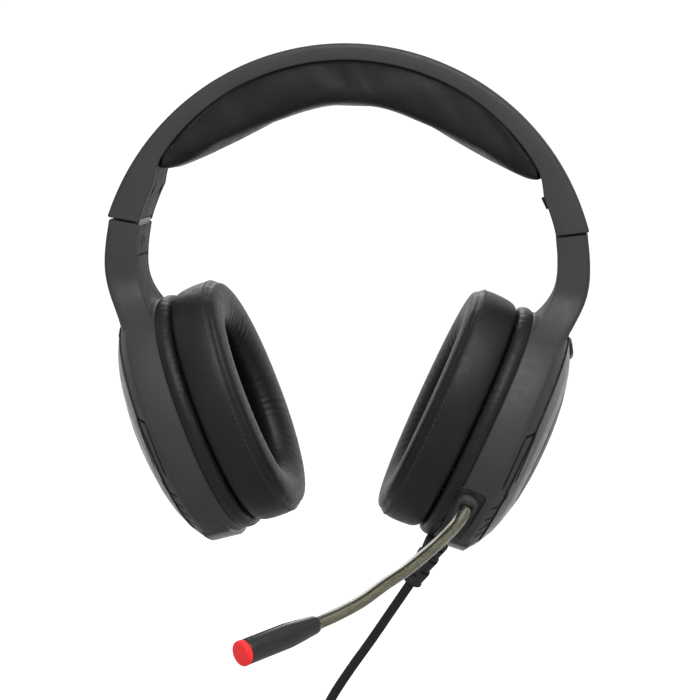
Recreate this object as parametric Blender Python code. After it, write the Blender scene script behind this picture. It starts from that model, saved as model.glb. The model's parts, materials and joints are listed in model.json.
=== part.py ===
"""Over-ear gaming headset with a sliding headband, padded cups, a bendable microphone boom and a cable.

Metres, +Z up. The wearer faces -Y, so +X is the wearer's left and carries the microphone and the cable.
The origin is the middle of the headband cushion's underside, which rests on the head.
"""

import math

import bmesh
import bpy
from mathutils import Matrix, Vector

# Headband arc, seen from the front.
BAND_RADIUS = 0.0990
BAND_CENTRE_Z = -0.0746
BAND_OUTER_END = math.radians(73.3)
BAND_INNER_END = math.radians(72.1)
BAND_HALF_DEPTH = 0.0165
BAND_TOP_THICKNESS = 0.0064
BAND_END_EXTRA = 0.0066
BAND_TAPER_START = 0.25
BAND_WALL = 0.0020
BAND_CROWN = 0.0010
END_COVER_START = math.radians(53.0)
BASE_PLATE_END = math.radians(51.5)
SPRING_BAND_END = math.radians(46.0)
GAP = 0.0003

# Cushion under the band: x and z along its underside, from the middle outwards.
CUSHION_UNDERSIDE = [(0.013, 0.0), (0.033, -0.0077), (0.050, -0.0170), (0.065, -0.0245), (0.0725, -0.0268)]
CUSHION_HALF_DEPTH = 0.0150
CUSHION_CHAMFER = 0.0035

# Slider, joint of each cup with the band.
SLIDE_TILT = math.radians(17.5)
SLIDE_TRAVEL = 0.025
SLIDER_AT_GAP = Vector((0.0856, 0.0, -0.0476))
SLIDER_HALF_THICKNESS = 0.0008
SLIDER_HALF_WIDTH = 0.0080
SLIDER_IN_BAND = 0.0300
SLIDER_IN_ARM = 0.0130

# Arm between the slider and the cup: x and z of its outer and inner edges, seen from the front.
ARM_OUTER = [(0.0943, -0.0470), (0.0957, -0.0580), (0.0957, -0.0670), (0.0938, -0.0770), (0.0886, -0.0884)]
ARM_INNER = [(0.0819, -0.0487), (0.0829, -0.0580), (0.0828, -0.0666), (0.0808, -0.0748), (0.0756, -0.0832)]
ARM_HALF_DEPTH = 0.0162
ARM_POCKET_HALF_DEPTH = 0.0150
ARM_POCKET_DEPTH = 0.0024
ARM_COVER_THICKNESS = 0.0020
ARM_COVER_SPLIT = -0.0604
ARM_COVER_END = -0.0795
SHOULDER_TOP = -0.0483
SHOULDER_BOTTOM = -0.0500

# Ear cup. Cup coordinates are front, up and inward, from the centre of the ear pad's mounting plane.
CUP_CENTRE = Vector((0.0498, -0.0075, -0.1212))
CUP_TILT = math.radians(22.8)
CUP_YAW = math.radians(4.2)
CUP_HALF_HEIGHT = 0.0486
CUP_HALF_WIDTH = 0.0414
OVAL_POWER = 2.15
OVAL_POINTS = 24
SHELL_WALL = 0.0022
SHELL_FRONT = -0.0062
RIDGE_DEPTH = -0.0182
PLATE_SEAT = -0.0222
DRIVER_RADIUS = 0.0200
MAGNET_RADIUS = 0.0116

# Microphone: exit from the cup in cup coordinates, and the boom's route in world coordinates.
MIC_EXIT_FRONT = 0.0362
MIC_EXIT_UP = -0.0270
MIC_EXIT_IN = -0.0128
BOSS_RADIUS = 0.0056
BOOM_RADIUS = 0.0024
BOOM_BORE = 0.0018
BOOM_CORE_RADIUS = 0.0015
BOOM_ROUTE = [
    (0.0512, -0.0446, -0.1545),
    (0.0491, -0.0510, -0.1586),
    (0.0453, -0.0600, -0.1636),
    (0.0394, -0.0690, -0.1677),
    (0.0328, -0.0780, -0.1716),
    (0.0241, -0.0880, -0.1757),
    (0.0160, -0.0970, -0.1795),
    (0.0077, -0.1040, -0.1831),
    (-0.0003, -0.1100, -0.1861),
]
BOOM_SWING_AT = 0.085
BOOM_BEND_AT = 0.60
BOOM_HINGE_GAP = 0.0032
CAPSULE_END = (-0.0222, -0.1320, -0.1921)
CAPSULE_NECK_RADIUS = 0.0033
CAPSULE_RADIUS = 0.0046
CAP_RADIUS = 0.0047
CAP_LENGTH = 0.0022

# Cable: diameter, real length and route in world coordinates.
CABLE_RADIUS = 0.0019
RELIEF_TOP = (0.0422, -0.0140, -0.1688)
RELIEF_END = (0.0299, -0.0140, -0.1885)
CABLE_LEAD_ROUTE = [
    (0.0299, -0.0140, -0.1885),
    (0.0263, -0.0140, -0.1938),
    (0.0228, -0.0140, -0.1989),
    (0.0145, -0.0140, -0.2114),
    (0.0068, -0.0140, -0.2231),
    (-0.0005, -0.0138, -0.2353),
    (-0.0060, -0.0133, -0.2480),
    (-0.0085, -0.0128, -0.2610),
]
COIL_CENTRE = Vector((0.0155, -0.0120, -0.2840))
COIL_MEAN_RADIUS = 0.0240
COIL_SECTION_RADIUS = 0.0078
TIE_WALL = 0.0012
CABLE_TAIL_ROUTE = [
    (0.0155, -0.0120, -0.3165),
    (0.0157, -0.0122, -0.3230),
    (0.0163, -0.0125, -0.3300),
    (0.0168, -0.0128, -0.3370),
    (0.0170, -0.0130, -0.3430),
]

GREY_PLASTIC = ((0.060, 0.062, 0.064), 0.55, 0.0)
COVER_PLASTIC = ((0.085, 0.087, 0.090), 0.50, 0.0)
DARK_PLASTIC = ((0.020, 0.021, 0.022), 0.45, 0.0)
LEATHER = ((0.018, 0.019, 0.020), 0.42, 0.0)
CLOTH = ((0.012, 0.012, 0.013), 0.90, 0.0)
STEEL = ((0.55, 0.55, 0.56), 0.32, 1.0)
MAGNET = ((0.30, 0.30, 0.31), 0.35, 1.0)
FILM = ((0.30, 0.25, 0.16), 0.30, 0.0)
BOARD = ((0.02, 0.10, 0.05), 0.55, 0.0)
SHEATH = ((0.33, 0.33, 0.28), 0.20, 0.0)
CORE = ((0.22, 0.21, 0.15), 0.40, 0.0)
RED = ((0.80, 0.05, 0.05), 0.30, 0.0)
GOLD = ((0.83, 0.62, 0.28), 0.25, 1.0)
RUBBER = ((0.022, 0.022, 0.023), 0.70, 0.0)
BRAID = ((0.028, 0.029, 0.029), 0.80, 0.0)

WORLD_FRAME = Matrix.Identity(4)


def clear_scene():
    for obj in list(bpy.data.objects):
        bpy.data.objects.remove(obj, do_unlink=True)


def material_for(name, finish):
    colour, roughness, metallic = finish
    made = bpy.data.materials.new(name)
    made.use_nodes = True
    shader = made.node_tree.nodes["Principled BSDF"]
    shader.inputs["Base Color"].default_value = (*colour, 1.0)
    shader.inputs["Roughness"].default_value = roughness
    shader.inputs["Metallic"].default_value = metallic
    return made


def cup_frame(side):
    """Placement of one cup: its columns are front (+X side only), up and inward."""
    sine, cosine = math.sin(CUP_TILT), math.cos(CUP_TILT)
    inward_flat = Vector((-cosine, 0.0, sine))
    front_flat = Vector((0.0, -1.0, 0.0))
    up = Vector((sine, 0.0, cosine))
    inward = inward_flat * math.cos(CUP_YAW) + front_flat * math.sin(CUP_YAW)
    front = front_flat * math.cos(CUP_YAW) - inward_flat * math.sin(CUP_YAW)
    centre = CUP_CENTRE.copy()
    if side < 0:
        for vector in (front, up, inward, centre):
            vector.x = -vector.x
        front = -front
    frame = Matrix.Identity(4)
    for column, vector in enumerate((front, up, inward, centre)):
        for row in range(3):
            frame[row][column] = vector[row]
    return frame


def add_node(name, bm, finish, frame=WORLD_FRAME, side=1, parent=None, smooth=True):
    """Turns a closed mesh, in the coordinates of frame, into a named object. side -1 mirrors its first axis."""
    if side < 0:
        for vert in bm.verts:
            vert.co.x = -vert.co.x
    bmesh.ops.recalc_face_normals(bm, faces=bm.faces)
    if bm.calc_volume(signed=True) < 0.0:
        bmesh.ops.reverse_faces(bm, faces=bm.faces)
    mesh = bpy.data.meshes.new(name)
    bm.to_mesh(mesh)
    bm.free()
    if smooth:
        mesh.shade_smooth()
        mesh.set_sharp_from_angle(angle=math.radians(35.0))
    obj = bpy.data.objects.new(name, mesh)
    bpy.context.scene.collection.objects.link(obj)
    mesh.materials.append(material_for(name, finish))
    obj.matrix_world = frame
    if parent is not None:
        attach(obj, parent)
    return obj


def attach(obj, parent):
    """Parents obj to an empty on a joint's axis, without moving it."""
    world = obj.matrix_world.copy()
    obj.parent = parent
    obj.matrix_parent_inverse = parent.matrix_world.inverted()
    obj.matrix_world = world


def add_empty(name, place, parent=None):
    empty = bpy.data.objects.new(name, None)
    bpy.context.scene.collection.objects.link(empty)
    empty.matrix_world = Matrix.Translation(place)
    bpy.context.view_layer.update()
    if parent is not None:
        attach(empty, parent)
        bpy.context.view_layer.update()
    return empty


def loft(rings, closed=False):
    """Bridges rings of equal counts. A closed loft joins the last ring to the first; an open one has caps."""
    bm = bmesh.new()
    made = [[bm.verts.new(point) for point in ring] for ring in rings]
    count = len(rings[0])
    pairs = list(zip(made, made[1:]))
    if closed:
        pairs.append((made[-1], made[0]))
    else:
        bm.faces.new(made[0])
        bm.faces.new(made[-1][::-1])
    for lower, upper in pairs:
        for i in range(count):
            j = (i + 1) % count
            bm.faces.new((lower[i], upper[i], upper[j], lower[j]))
    return bm


def oval(half_height, half_width, inward, points=OVAL_POINTS, power=OVAL_POWER):
    """One superellipse in cup coordinates: front, up, inward."""
    ring = []
    for i in range(points):
        angle = math.tau * i / points
        up, front = math.cos(angle), math.sin(angle)
        ring.append(
            Vector(
                (
                    math.copysign(abs(front) ** (2 / power), front) * half_width,
                    math.copysign(abs(up) ** (2 / power), up) * half_height,
                    inward,
                )
            )
        )
    return ring


def circle(radius, inward, points=OVAL_POINTS):
    return oval(radius, radius, inward, points, 2.0)


def oval_body(profile, closed=False):
    return loft([oval(*section) for section in profile], closed)


def round_body(profile, closed=False, points=18, frame=None):
    """A turned body about +Z from (radius, z) pairs, optionally placed by frame."""
    bm = loft([circle(radius, z, points) for radius, z in profile], closed)
    if frame is not None:
        bm.transform(frame)
    return bm


def box(low, high):
    bm = bmesh.new()
    bmesh.ops.create_cube(bm, size=1.0)
    low, high = Vector(low), Vector(high)
    for vert in bm.verts:
        vert.co = Vector([(low[i] + high[i]) / 2 + vert.co[i] * (high[i] - low[i]) for i in range(3)])
    return bm


def extruded(outline, low, high):
    """A prism along Y from an outline of (x, z) points."""
    return loft([[Vector((x, y, z)) for x, z in outline] for y in (low, high)])


def cut(target, tools, operation="DIFFERENCE"):
    """Leaves a live Boolean on target for each tool, which is kept as a hidden guide."""
    for tool in tools:
        tool.hide_render = True
        tool.display_type = "WIRE"
        boolean = target.modifiers.new(operation.lower() + "_" + tool.name, "BOOLEAN")
        boolean.operation = operation
        boolean.object = tool


def helper(name, bm, frame=WORLD_FRAME, side=1, parent=None):
    return add_node(name, bm, DARK_PLASTIC, frame, side, parent, smooth=False)


def smooth_line(points, per_span):
    """Points on a Catmull-Rom curve through the given ones."""
    given = [Vector(point) for point in points]
    line = []
    for i in range(len(given) - 1):
        before = given[i - 1] if i else given[0] * 2 - given[1]
        after = given[i + 2] if i + 2 < len(given) else given[-1] * 2 - given[-2]
        start, end = given[i], given[i + 1]
        for step in range(per_span):
            t = step / per_span
            line.append(
                (
                    start * 2
                    + (end - before) * t
                    + (before * 2 - start * 5 + end * 4 - after) * t * t
                    + (start * 3 - before - end * 3 + after) * t * t * t
                )
                * 0.5
            )
    line.append(given[-1])
    return line


def frame_along(place, direction):
    """A frame at place whose +Z runs along direction."""
    return Matrix.Translation(place) @ Vector(direction).to_track_quat("Z", "Y").to_matrix().to_4x4()


def line_length(line):
    return sum((b - a).length for a, b in zip(line, line[1:]))


def stretch_of(line, start, end):
    """The part of a polyline between two distances along it."""
    found, walked = [], 0.0
    for a, b in zip(line, line[1:]):
        step = (b - a).length
        for distance in (start, end):
            if walked <= distance < walked + step:
                found.append(a + (b - a) * ((distance - walked) / step))
        if start < walked + step < end:
            found.append(b)
        walked += step
    return found


def tube_rings(line, radius, points):
    rings = []
    for i, place in enumerate(line):
        direction = line[min(i + 1, len(line) - 1)] - line[max(i - 1, 0)]
        frame = frame_along(place, direction)
        rings.append([frame @ point for point in circle(radius, 0.0, points)])
    return rings


def pipe(line, radius, bore=None, points=8):
    """A solid rod along a line, or a pipe with open ends when it has a bore."""
    outer = tube_rings(line, radius, points)
    if bore is None:
        return loft(outer)
    return loft(outer + tube_rings(line, bore, points)[::-1], closed=True)


# ---------------------------------------------------------------- headband


def band_inner_radius(angle):
    """The band thickens from its top towards its ends."""
    share = abs(angle) / BAND_INNER_END
    share = max(0.0, share - BAND_TAPER_START) / (1.0 - BAND_TAPER_START)
    return BAND_RADIUS - BAND_TOP_THICKNESS - BAND_END_EXTRA * share**1.3


def band_point(radius, angle, y):
    return Vector((radius * math.sin(angle), y, BAND_CENTRE_Z + radius * math.cos(angle)))


def band_strip(start, end, steps, section):
    """A body swept along the band. section(angle) gives (radius, y) corners."""
    rings = []
    for i in range(steps + 1):
        angle = start + (end - start) * i / steps
        rings.append([band_point(radius, angle, y) for radius, y in section(angle)])
    return loft(rings)


def make_band_shell():
    half, wall = BAND_HALF_DEPTH, BAND_WALL
    steps = 36
    rings = []
    for i in range(steps + 1):
        share = 2 * i / steps - 1
        outer, inner = share * BAND_OUTER_END, share * BAND_INNER_END
        edge = band_inner_radius(inner)
        roof = BAND_RADIUS - wall
        corners = [
            (BAND_RADIUS - BAND_CROWN, outer, -half),
            (BAND_RADIUS, outer, -half * 0.6),
            (BAND_RADIUS, outer, half * 0.6),
            (BAND_RADIUS - BAND_CROWN, outer, half),
            (edge, inner, half),
            (edge, inner, half - wall),
            (roof - BAND_CROWN, outer, half - wall),
            (roof - BAND_CROWN, outer, wall - half),
            (edge, inner, wall - half),
            (edge, inner, -half),
        ]
        rings.append([band_point(radius, angle, y) for radius, angle, y in corners])
    return add_node("headband_outer_shell", loft(rings), GREY_PLASTIC)


def make_band_inside():
    def spring_section(_angle):
        low, high = 0.0941, 0.0949
        return [(low, -0.007), (high, -0.007), (high, 0.007), (low, 0.007)]

    def base_section(angle):
        low = band_inner_radius(angle) - 0.0001
        half = BAND_HALF_DEPTH - BAND_WALL - GAP
        high = min(low + 0.0012, 0.0937)
        return [(low, -half), (high, -half), (high, half), (low, half)]

    def cover_section(angle):
        low = band_inner_radius(angle) + 0.0001
        half = BAND_HALF_DEPTH - BAND_WALL - GAP
        return [(low, -half), (low + 0.0016, -half), (low + 0.0016, half), (low, half)]

    add_node("spring_band", band_strip(-SPRING_BAND_END, SPRING_BAND_END, 24, spring_section), STEEL)
    add_node("cushion_base_plate", band_strip(-BASE_PLATE_END, BASE_PLATE_END, 26, base_section), DARK_PLASTIC)
    for side, word in ((1, "left"), (-1, "right")):
        cover = band_strip(END_COVER_START, BAND_INNER_END - 0.004, 8, cover_section)
        add_node(word + "_band_end_cover", cover, COVER_PLASTIC, side=side)


def make_cushion():
    half = [(x, z) for x, z in CUSHION_UNDERSIDE]
    fine = smooth_line([Vector((x, 0.0, z)) for x, z in half], 3)
    right_side = [(point.x, point.z) for point in fine]
    under = [(-x, z) for x, z in right_side[::-1]] + right_side
    rings = []
    for x, low in under:
        angle = math.asin(x / BAND_RADIUS)
        for _ in range(3):
            angle = math.asin(x / (band_inner_radius(angle) - 0.0005))
        high = BAND_CENTRE_Z + (band_inner_radius(angle) - 0.0005) * math.cos(angle)
        high = max(high, low + 0.0012)
        tuck = min(CUSHION_CHAMFER, (high - low) * 0.4)
        side = CUSHION_HALF_DEPTH
        rings.append(
            [
                Vector((x, -side + CUSHION_CHAMFER, low)),
                Vector((x, side - CUSHION_CHAMFER, low)),
                Vector((x, side, low + tuck)),
                Vector((x, side, high)),
                Vector((x, -side, high)),
                Vector((x, -side, low + tuck)),
            ]
        )
    add_node("headband_cushion", loft(rings), LEATHER)


# ---------------------------------------------------------------- slider and arm


def slide_frame():
    """At the gap, on the slider's middle: +X across its thickness, +Z up along the slide."""
    return Matrix.Translation(SLIDER_AT_GAP) @ Matrix.Rotation(-SLIDE_TILT, 4, "Y")


def arm_edge(points, per_span=3):
    line = smooth_line([Vector((x, 0.0, z)) for x, z in points], per_span)
    return [(point.x, point.z) for point in line]


def shifted_edge(edge, distance):
    """The edge moved outwards, away from the wearer, by distance."""
    moved = []
    for i, (x, z) in enumerate(edge):
        before, after = edge[max(i - 1, 0)], edge[min(i + 1, len(edge) - 1)]
        along = Vector((after[0] - before[0], after[1] - before[1])).normalized()
        moved.append((x - along.y * distance, z + along.x * distance))
    return moved


def edge_between(edge, top, bottom):
    """The stretch of an edge between two heights."""
    found = []
    for (x0, z0), (x1, z1) in zip(edge, edge[1:]):
        for height in (top, bottom):
            if z1 < height <= z0:
                share = (z0 - height) / (z0 - z1)
                found.append((x0 + (x1 - x0) * share, height))
        if bottom < z1 < top:
            found.append((x1, z1))
    return found


def make_slider(side, word, parent):
    frame = slide_frame()
    bar = box(
        (-SLIDER_HALF_THICKNESS, -SLIDER_HALF_WIDTH, -SLIDER_IN_ARM),
        (SLIDER_HALF_THICKNESS, SLIDER_HALF_WIDTH, SLIDER_IN_BAND),
    )
    bar.transform(frame)
    slider = add_node(word + "_slider_bar", bar, STEEL, side=side, parent=parent, smooth=False)
    half = ARM_POCKET_HALF_DEPTH - GAP
    shoulder = helper(
        word + "_slider_shoulder_guide",
        box((0.0824, -half, SHOULDER_BOTTOM), (SLIDER_AT_GAP.x + 0.0002, half, SHOULDER_TOP)),
        side=side,
        parent=parent,
    )
    cut(slider, [shoulder], "UNION")


def make_slider_guide(side, word):
    """A bracket fixed in the band's end, open towards the wearer, and the leaf spring that clicks on the bar."""
    frame = slide_frame()
    inner = SLIDER_HALF_THICKNESS + GAP
    low, high = 0.0030, 0.0230
    wide, wall = SLIDER_HALF_WIDTH + GAP, 0.0009
    corners = [
        (-inner, -wide - wall),
        (inner + wall, -wide - wall),
        (inner + wall, wide + wall),
        (-inner, wide + wall),
        (-inner, wide),
        (inner, wide),
        (inner, -wide),
        (-inner, -wide),
    ]
    bracket = loft([[Vector((x, y, z)) for x, y in corners] for z in (low, high)])
    bracket.transform(frame)
    add_node(word + "_slider_guide", bracket, DARK_PLASTIC, side=side, smooth=False)
    leaf = box((-inner - 0.0005, -0.0030, 0.0070), (-inner, 0.0030, 0.0210))
    leaf.transform(frame)
    add_node(word + "_detent_spring", leaf, STEEL, side=side, smooth=False)


def make_arm_covers(side, word, parent):
    edge = arm_edge(ARM_INNER, 4)
    half = ARM_POCKET_HALF_DEPTH - GAP
    spans = (
        ("_arm_cover_upper", SHOULDER_BOTTOM - GAP, ARM_COVER_SPLIT + 0.0002),
        ("_arm_cover_lower", ARM_COVER_SPLIT - 0.0002, ARM_COVER_END),
    )
    for name, top, bottom in spans:
        inner = edge_between(edge, top, bottom)
        outline = inner + shifted_edge(inner, ARM_COVER_THICKNESS)[::-1]
        add_node(word + name, extruded(outline, -half, half), COVER_PLASTIC, side=side, parent=parent)


# ---------------------------------------------------------------- ear cup


def make_housing(side, word, parent):
    """Cup shell and arm in one moulding, with a pocket for the arm covers and a slot for the slider."""
    frame = cup_frame(side)
    high, wide = CUP_HALF_HEIGHT, CUP_HALF_WIDTH
    wall = SHELL_WALL
    profile = [
        (high, wide, SHELL_FRONT),
        (high + 0.0006, wide + 0.0006, -0.0130),
        (high + 0.0002, wide + 0.0002, RIDGE_DEPTH),
        (high - 0.0034, wide - 0.0034, PLATE_SEAT),
        (high - 0.0062, wide - 0.0062, PLATE_SEAT + 0.0008),
        (high - wall, wide - wall, RIDGE_DEPTH + 0.0006),
        (high - wall, wide - wall, SHELL_FRONT),
    ]
    shell = add_node(
        word + "_cup_housing", oval_body(profile, closed=True), GREY_PLASTIC, frame, side, parent
    )
    outline = arm_edge(ARM_OUTER) + arm_edge(ARM_INNER)[::-1]
    arm = helper(
        word + "_arm_guide", extruded(outline, -ARM_HALF_DEPTH, ARM_HALF_DEPTH), side=side, parent=parent
    )
    bosses = [
        helper(word + "_screw_post_guide_" + str(i), screw_post(up), frame, side, parent)
        for i, up in enumerate((1, -1))
    ]
    cut(shell, [arm] + bosses, "UNION")
    edge = arm_edge(ARM_INNER, 4)
    top_height = edge[0][1] + 0.0030
    opened = shifted_edge(edge, -0.0006)
    deep = shifted_edge(edge, ARM_POCKET_DEPTH)
    pocket_line = [(opened[0][0], top_height)] + opened[:-1] + deep[:-1][::-1] + [(deep[0][0], top_height)]
    pocket = helper(
        word + "_pocket_guide",
        extruded(pocket_line, -ARM_POCKET_HALF_DEPTH, ARM_POCKET_HALF_DEPTH),
        side=side,
        parent=parent,
    )
    notch = helper(
        word + "_notch_guide",
        box(
            (0.0800, -ARM_POCKET_HALF_DEPTH, SHOULDER_BOTTOM - GAP),
            (SLIDER_AT_GAP.x + 0.0015, ARM_POCKET_HALF_DEPTH, SHOULDER_TOP + 0.0040),
        ),
        side=side,
        parent=parent,
    )
    slot = box(
        (-SLIDER_HALF_THICKNESS - GAP, -SLIDER_HALF_WIDTH - GAP, -SLIDER_IN_ARM - GAP),
        (SLIDER_HALF_THICKNESS + GAP, SLIDER_HALF_WIDTH + GAP, 0.0100),
    )
    slot.transform(slide_frame())
    slot = helper(word + "_slot_guide", slot, side=side, parent=parent)
    holes = [
        helper(word + "_post_hole_guide_" + str(i), screw_hole(up, 0.0013), frame, side, parent)
        for i, up in enumerate((1, -1))
    ]
    cut(shell, [pocket, notch, slot] + holes)
    return shell


def at_post(up, bm):
    turn = Matrix.Rotation(math.radians(8.0), 4, "Z")
    bm.transform(Matrix.Translation((0.0, up * (CUP_HALF_HEIGHT - 0.0054), 0.0)) @ turn)
    return bm


def screw_post(up):
    return at_post(up, round_body([(0.0035, -0.0190), (0.0035, -0.0087)], points=16))


def screw_hole(up, radius, bottom=-0.0165):
    return at_post(up, round_body([(radius, bottom), (radius, 0.0)], points=12))


def make_plate(side, word, parent):
    """Domed outer plate with a raised boss near the arm, and the trim that sits in its recess."""
    frame = cup_frame(side)
    high, wide = CUP_HALF_HEIGHT - 0.0038, CUP_HALF_WIDTH - 0.0038
    seat = PLATE_SEAT - GAP
    profile = [
        (0.0080, 0.0070, -0.0300),
        (0.0240, 0.0200, -0.0282),
        (0.0370, 0.0300, -0.0244),
        (high - 0.0016, wide - 0.0016, seat),
        (high, wide, seat),
        (high - 0.0004, wide - 0.0004, seat - 0.0010),
        (0.0390, 0.0322, -0.0260),
        (0.0310, 0.0255, -0.0289),
        (0.0310, 0.0255, -0.0281),
        (0.0080, 0.0070, -0.0313),
    ]
    plate = add_node(word + "_outer_plate", oval_body(profile), GREY_PLASTIC, frame, side, parent)
    boss = round_body([(0.0052, -0.0236), (0.0052, -0.0258), (0.0040, -0.0268)], points=6)
    boss.transform(Matrix.Translation((0.0, 0.0383, 0.0)))
    cut(plate, [helper(word + "_boss_guide", boss, frame, side, parent)], "UNION")
    trim = [
        (0.0080, 0.0070, -0.0316),
        (0.0307, 0.0252, -0.0284),
        (0.0307, 0.0252, -0.0291),
        (0.0200, 0.0165, -0.0313),
        (0.0080, 0.0070, -0.0324),
    ]
    add_node(word + "_plate_trim", oval_body(trim), DARK_PLASTIC, frame, side, parent)


def make_speaker(side, word, parent):
    frame = cup_frame(side)
    hole = 0.0182
    inset = SHELL_WALL + GAP
    back, front = -0.0084, -0.0066
    high, wide = CUP_HALF_HEIGHT - inset, CUP_HALF_WIDTH - inset
    rings = [oval(high, wide, front), oval(high, wide, back), circle(hole, back), circle(hole, front)]
    baffle = add_node(word + "_baffle", loft(rings, closed=True), DARK_PLASTIC, frame, side, parent)
    holes = [
        helper(word + "_baffle_hole_guide_" + str(i), screw_hole(up, 0.0017, -0.0120), frame, side, parent)
        for i, up in enumerate((1, -1))
    ]
    cut(baffle, holes)
    for up, level in ((1, "upper"), (-1, "lower")):
        screw = at_post(
            up,
            round_body(
                [(0.0010, -0.0150), (0.0010, -0.0063), (0.0021, -0.0063), (0.0021, -0.0052), (0.0013, -0.0046)],
                points=12,
            ),
        )
        add_node(word + "_baffle_screw_" + level, screw, STEEL, frame, side, parent)
    basket = [
        (DRIVER_RADIUS, -0.0087),
        (DRIVER_RADIUS, -0.0102),
        (0.0172, -0.0146),
        (MAGNET_RADIUS + 0.0005, -0.0146),
        (MAGNET_RADIUS + 0.0005, -0.0132),
        (0.0158, -0.0126),
        (0.0176, -0.0098),
        (0.0176, -0.0087),
    ]
    add_node(word + "_driver_frame", round_body(basket, closed=True), DARK_PLASTIC, frame, side, parent)
    magnet = [(0.0100, -0.0188), (MAGNET_RADIUS, -0.0182), (MAGNET_RADIUS, -0.0118), (0.0105, -0.0118)]
    add_node(word + "_driver_magnet", round_body(magnet), MAGNET, frame, side, parent)
    film = [(0.0040, -0.0084), (0.0110, -0.0088), (0.0171, -0.0083), (0.0171, -0.0079), (0.0110, -0.0074), (0.0040, -0.0068)]
    add_node(word + "_driver_diaphragm", round_body(film), FILM, frame, side, parent)
    cloth = [(0.0330, 0.0260, -0.0023), (0.0330, 0.0260, -0.0017)]
    add_node(word + "_speaker_cloth", oval_body(cloth), CLOTH, frame, side, parent)


def make_pad(side, word, parent):
    """Ear pad and the narrow skirt that stretches over the rim of the cup."""
    frame = cup_frame(side)
    skirt = [
        (0.0485, 0.0413, SHELL_FRONT + GAP),
        (0.0491, 0.0419, -0.0032),
        (0.0478, 0.0406, -0.0002),
        (0.0335, 0.0265, -0.0002),
        (0.0335, 0.0265, -0.0026),
        (0.0456, 0.0384, -0.0026),
        (0.0456, 0.0384, SHELL_FRONT + GAP),
    ]
    add_node(word + "_pad_skirt", oval_body(skirt, closed=True), LEATHER, frame, side, parent)
    pad = [
        (0.0466, 0.0394, 0.0002),
        (0.0490, 0.0417, 0.0045),
        (0.0494, 0.0421, 0.0095),
        (0.0478, 0.0406, 0.0155),
        (0.0440, 0.0366, 0.0184),
        (0.0405, 0.0330, 0.0190),
        (0.0345, 0.0265, 0.0190),
        (0.0310, 0.0225, 0.0168),
        (0.0298, 0.0208, 0.0115),
        (0.0305, 0.0215, 0.0040),
        (0.0325, 0.0235, 0.0002),
    ]
    add_node(word + "_ear_pad", oval_body(pad, closed=True), LEATHER, frame, side, parent)


def make_cup(side, word, band):
    joint = add_empty(word + "_slide_axis", Vector((side * SLIDER_AT_GAP.x, 0.0, SLIDER_AT_GAP.z)), band)
    make_slider(side, word, joint)
    make_slider_guide(side, word)
    make_arm_covers(side, word, joint)
    housing = make_housing(side, word, joint)
    make_plate(side, word, joint)
    make_speaker(side, word, joint)
    make_pad(side, word, joint)
    return joint, housing


# ---------------------------------------------------------------- microphone


def mic_exit_frame():
    """On the cup's front rim: +Z points out of the rim, forward and down."""
    frame = cup_frame(1)
    outward = Vector((0.880, -0.475, 0.0))
    place = frame @ Vector((MIC_EXIT_FRONT, MIC_EXIT_UP, MIC_EXIT_IN))
    return frame_along(place, frame.to_3x3() @ outward)


def make_microphone(cup_joint, housing):
    exit_frame = mic_exit_frame()
    boss = round_body(
        [(BOSS_RADIUS, -0.0021), (BOSS_RADIUS, 0.0016), (BOSS_RADIUS - 0.0010, 0.0026), (0.0030, 0.0026), (0.0030, -0.0021)],
        closed=True,
        points=20,
        frame=exit_frame,
    )
    add_node("microphone_boss", boss, DARK_PLASTIC, parent=cup_joint)
    seat = round_body([(BOSS_RADIUS + GAP, -0.0080), (BOSS_RADIUS + GAP, 0.0080)], points=20, frame=exit_frame)
    cut(housing, [helper("microphone_boss_hole_guide", seat, parent=cup_joint)])

    line = smooth_line(BOOM_ROUTE, 2)
    total = line_length(line)
    swing_at, bend_at = BOOM_SWING_AT * total, BOOM_BEND_AT * total
    half_gap = BOOM_HINGE_GAP / 2
    swing_place = stretch_of(line, swing_at, total)[0]
    bend_place = stretch_of(line, bend_at, total)[0]
    swing = add_empty("boom_swing_axis", swing_place, cup_joint)
    bend = add_empty("boom_bend_axis", bend_place, swing)

    root = stretch_of(line, 0.0, swing_at - half_gap)
    lower = stretch_of(line, swing_at + half_gap, bend_at - half_gap)
    upper = stretch_of(line, bend_at + half_gap, total - 0.0006)
    add_node("boom_root_sleeve", pipe(root, BOOM_RADIUS), DARK_PLASTIC, parent=cup_joint)
    for name, stretch, joint in (("lower", lower, swing), ("upper", upper, bend)):
        add_node("boom_sheath_" + name, pipe(stretch, BOOM_RADIUS, BOOM_BORE), SHEATH, parent=joint)
        add_node("boom_core_" + name, pipe(stretch, BOOM_CORE_RADIUS), CORE, parent=joint)

    start, end = Vector(BOOM_ROUTE[-1]), Vector(CAPSULE_END)
    along = frame_along(start, end - start)
    long = (end - start).length
    shell = [
        (CAPSULE_NECK_RADIUS, 0.0),
        (CAPSULE_NECK_RADIUS + 0.0003, 0.0060),
        (CAPSULE_RADIUS - 0.0006, long * 0.55),
        (CAPSULE_RADIUS, long - 0.0040),
        (CAPSULE_RADIUS, long),
        (CAPSULE_RADIUS - 0.0008, long),
        (CAPSULE_RADIUS - 0.0008, long - 0.0060),
        (0.0008, long - 0.0060),
    ]
    add_node("microphone_capsule_shell", round_body(shell, points=20, frame=along), DARK_PLASTIC, parent=bend)
    cell = [(0.0034, long - 0.0055), (0.0034, long - 0.0010)]
    add_node("microphone_cartridge", round_body(cell, points=16, frame=along), STEEL, parent=bend)
    cap = [
        (0.0036, long - 0.0006),
        (0.0036, long + GAP),
        (CAP_RADIUS, long + GAP),
        (CAP_RADIUS + 0.0001, long + CAP_LENGTH * 0.5),
        (CAP_RADIUS - 0.0008, long + CAP_LENGTH * 0.85),
        (0.0020, long + CAP_LENGTH),
    ]
    add_node("microphone_tip_cap", round_body(cap, points=20, frame=along), RED, parent=bend)


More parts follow.
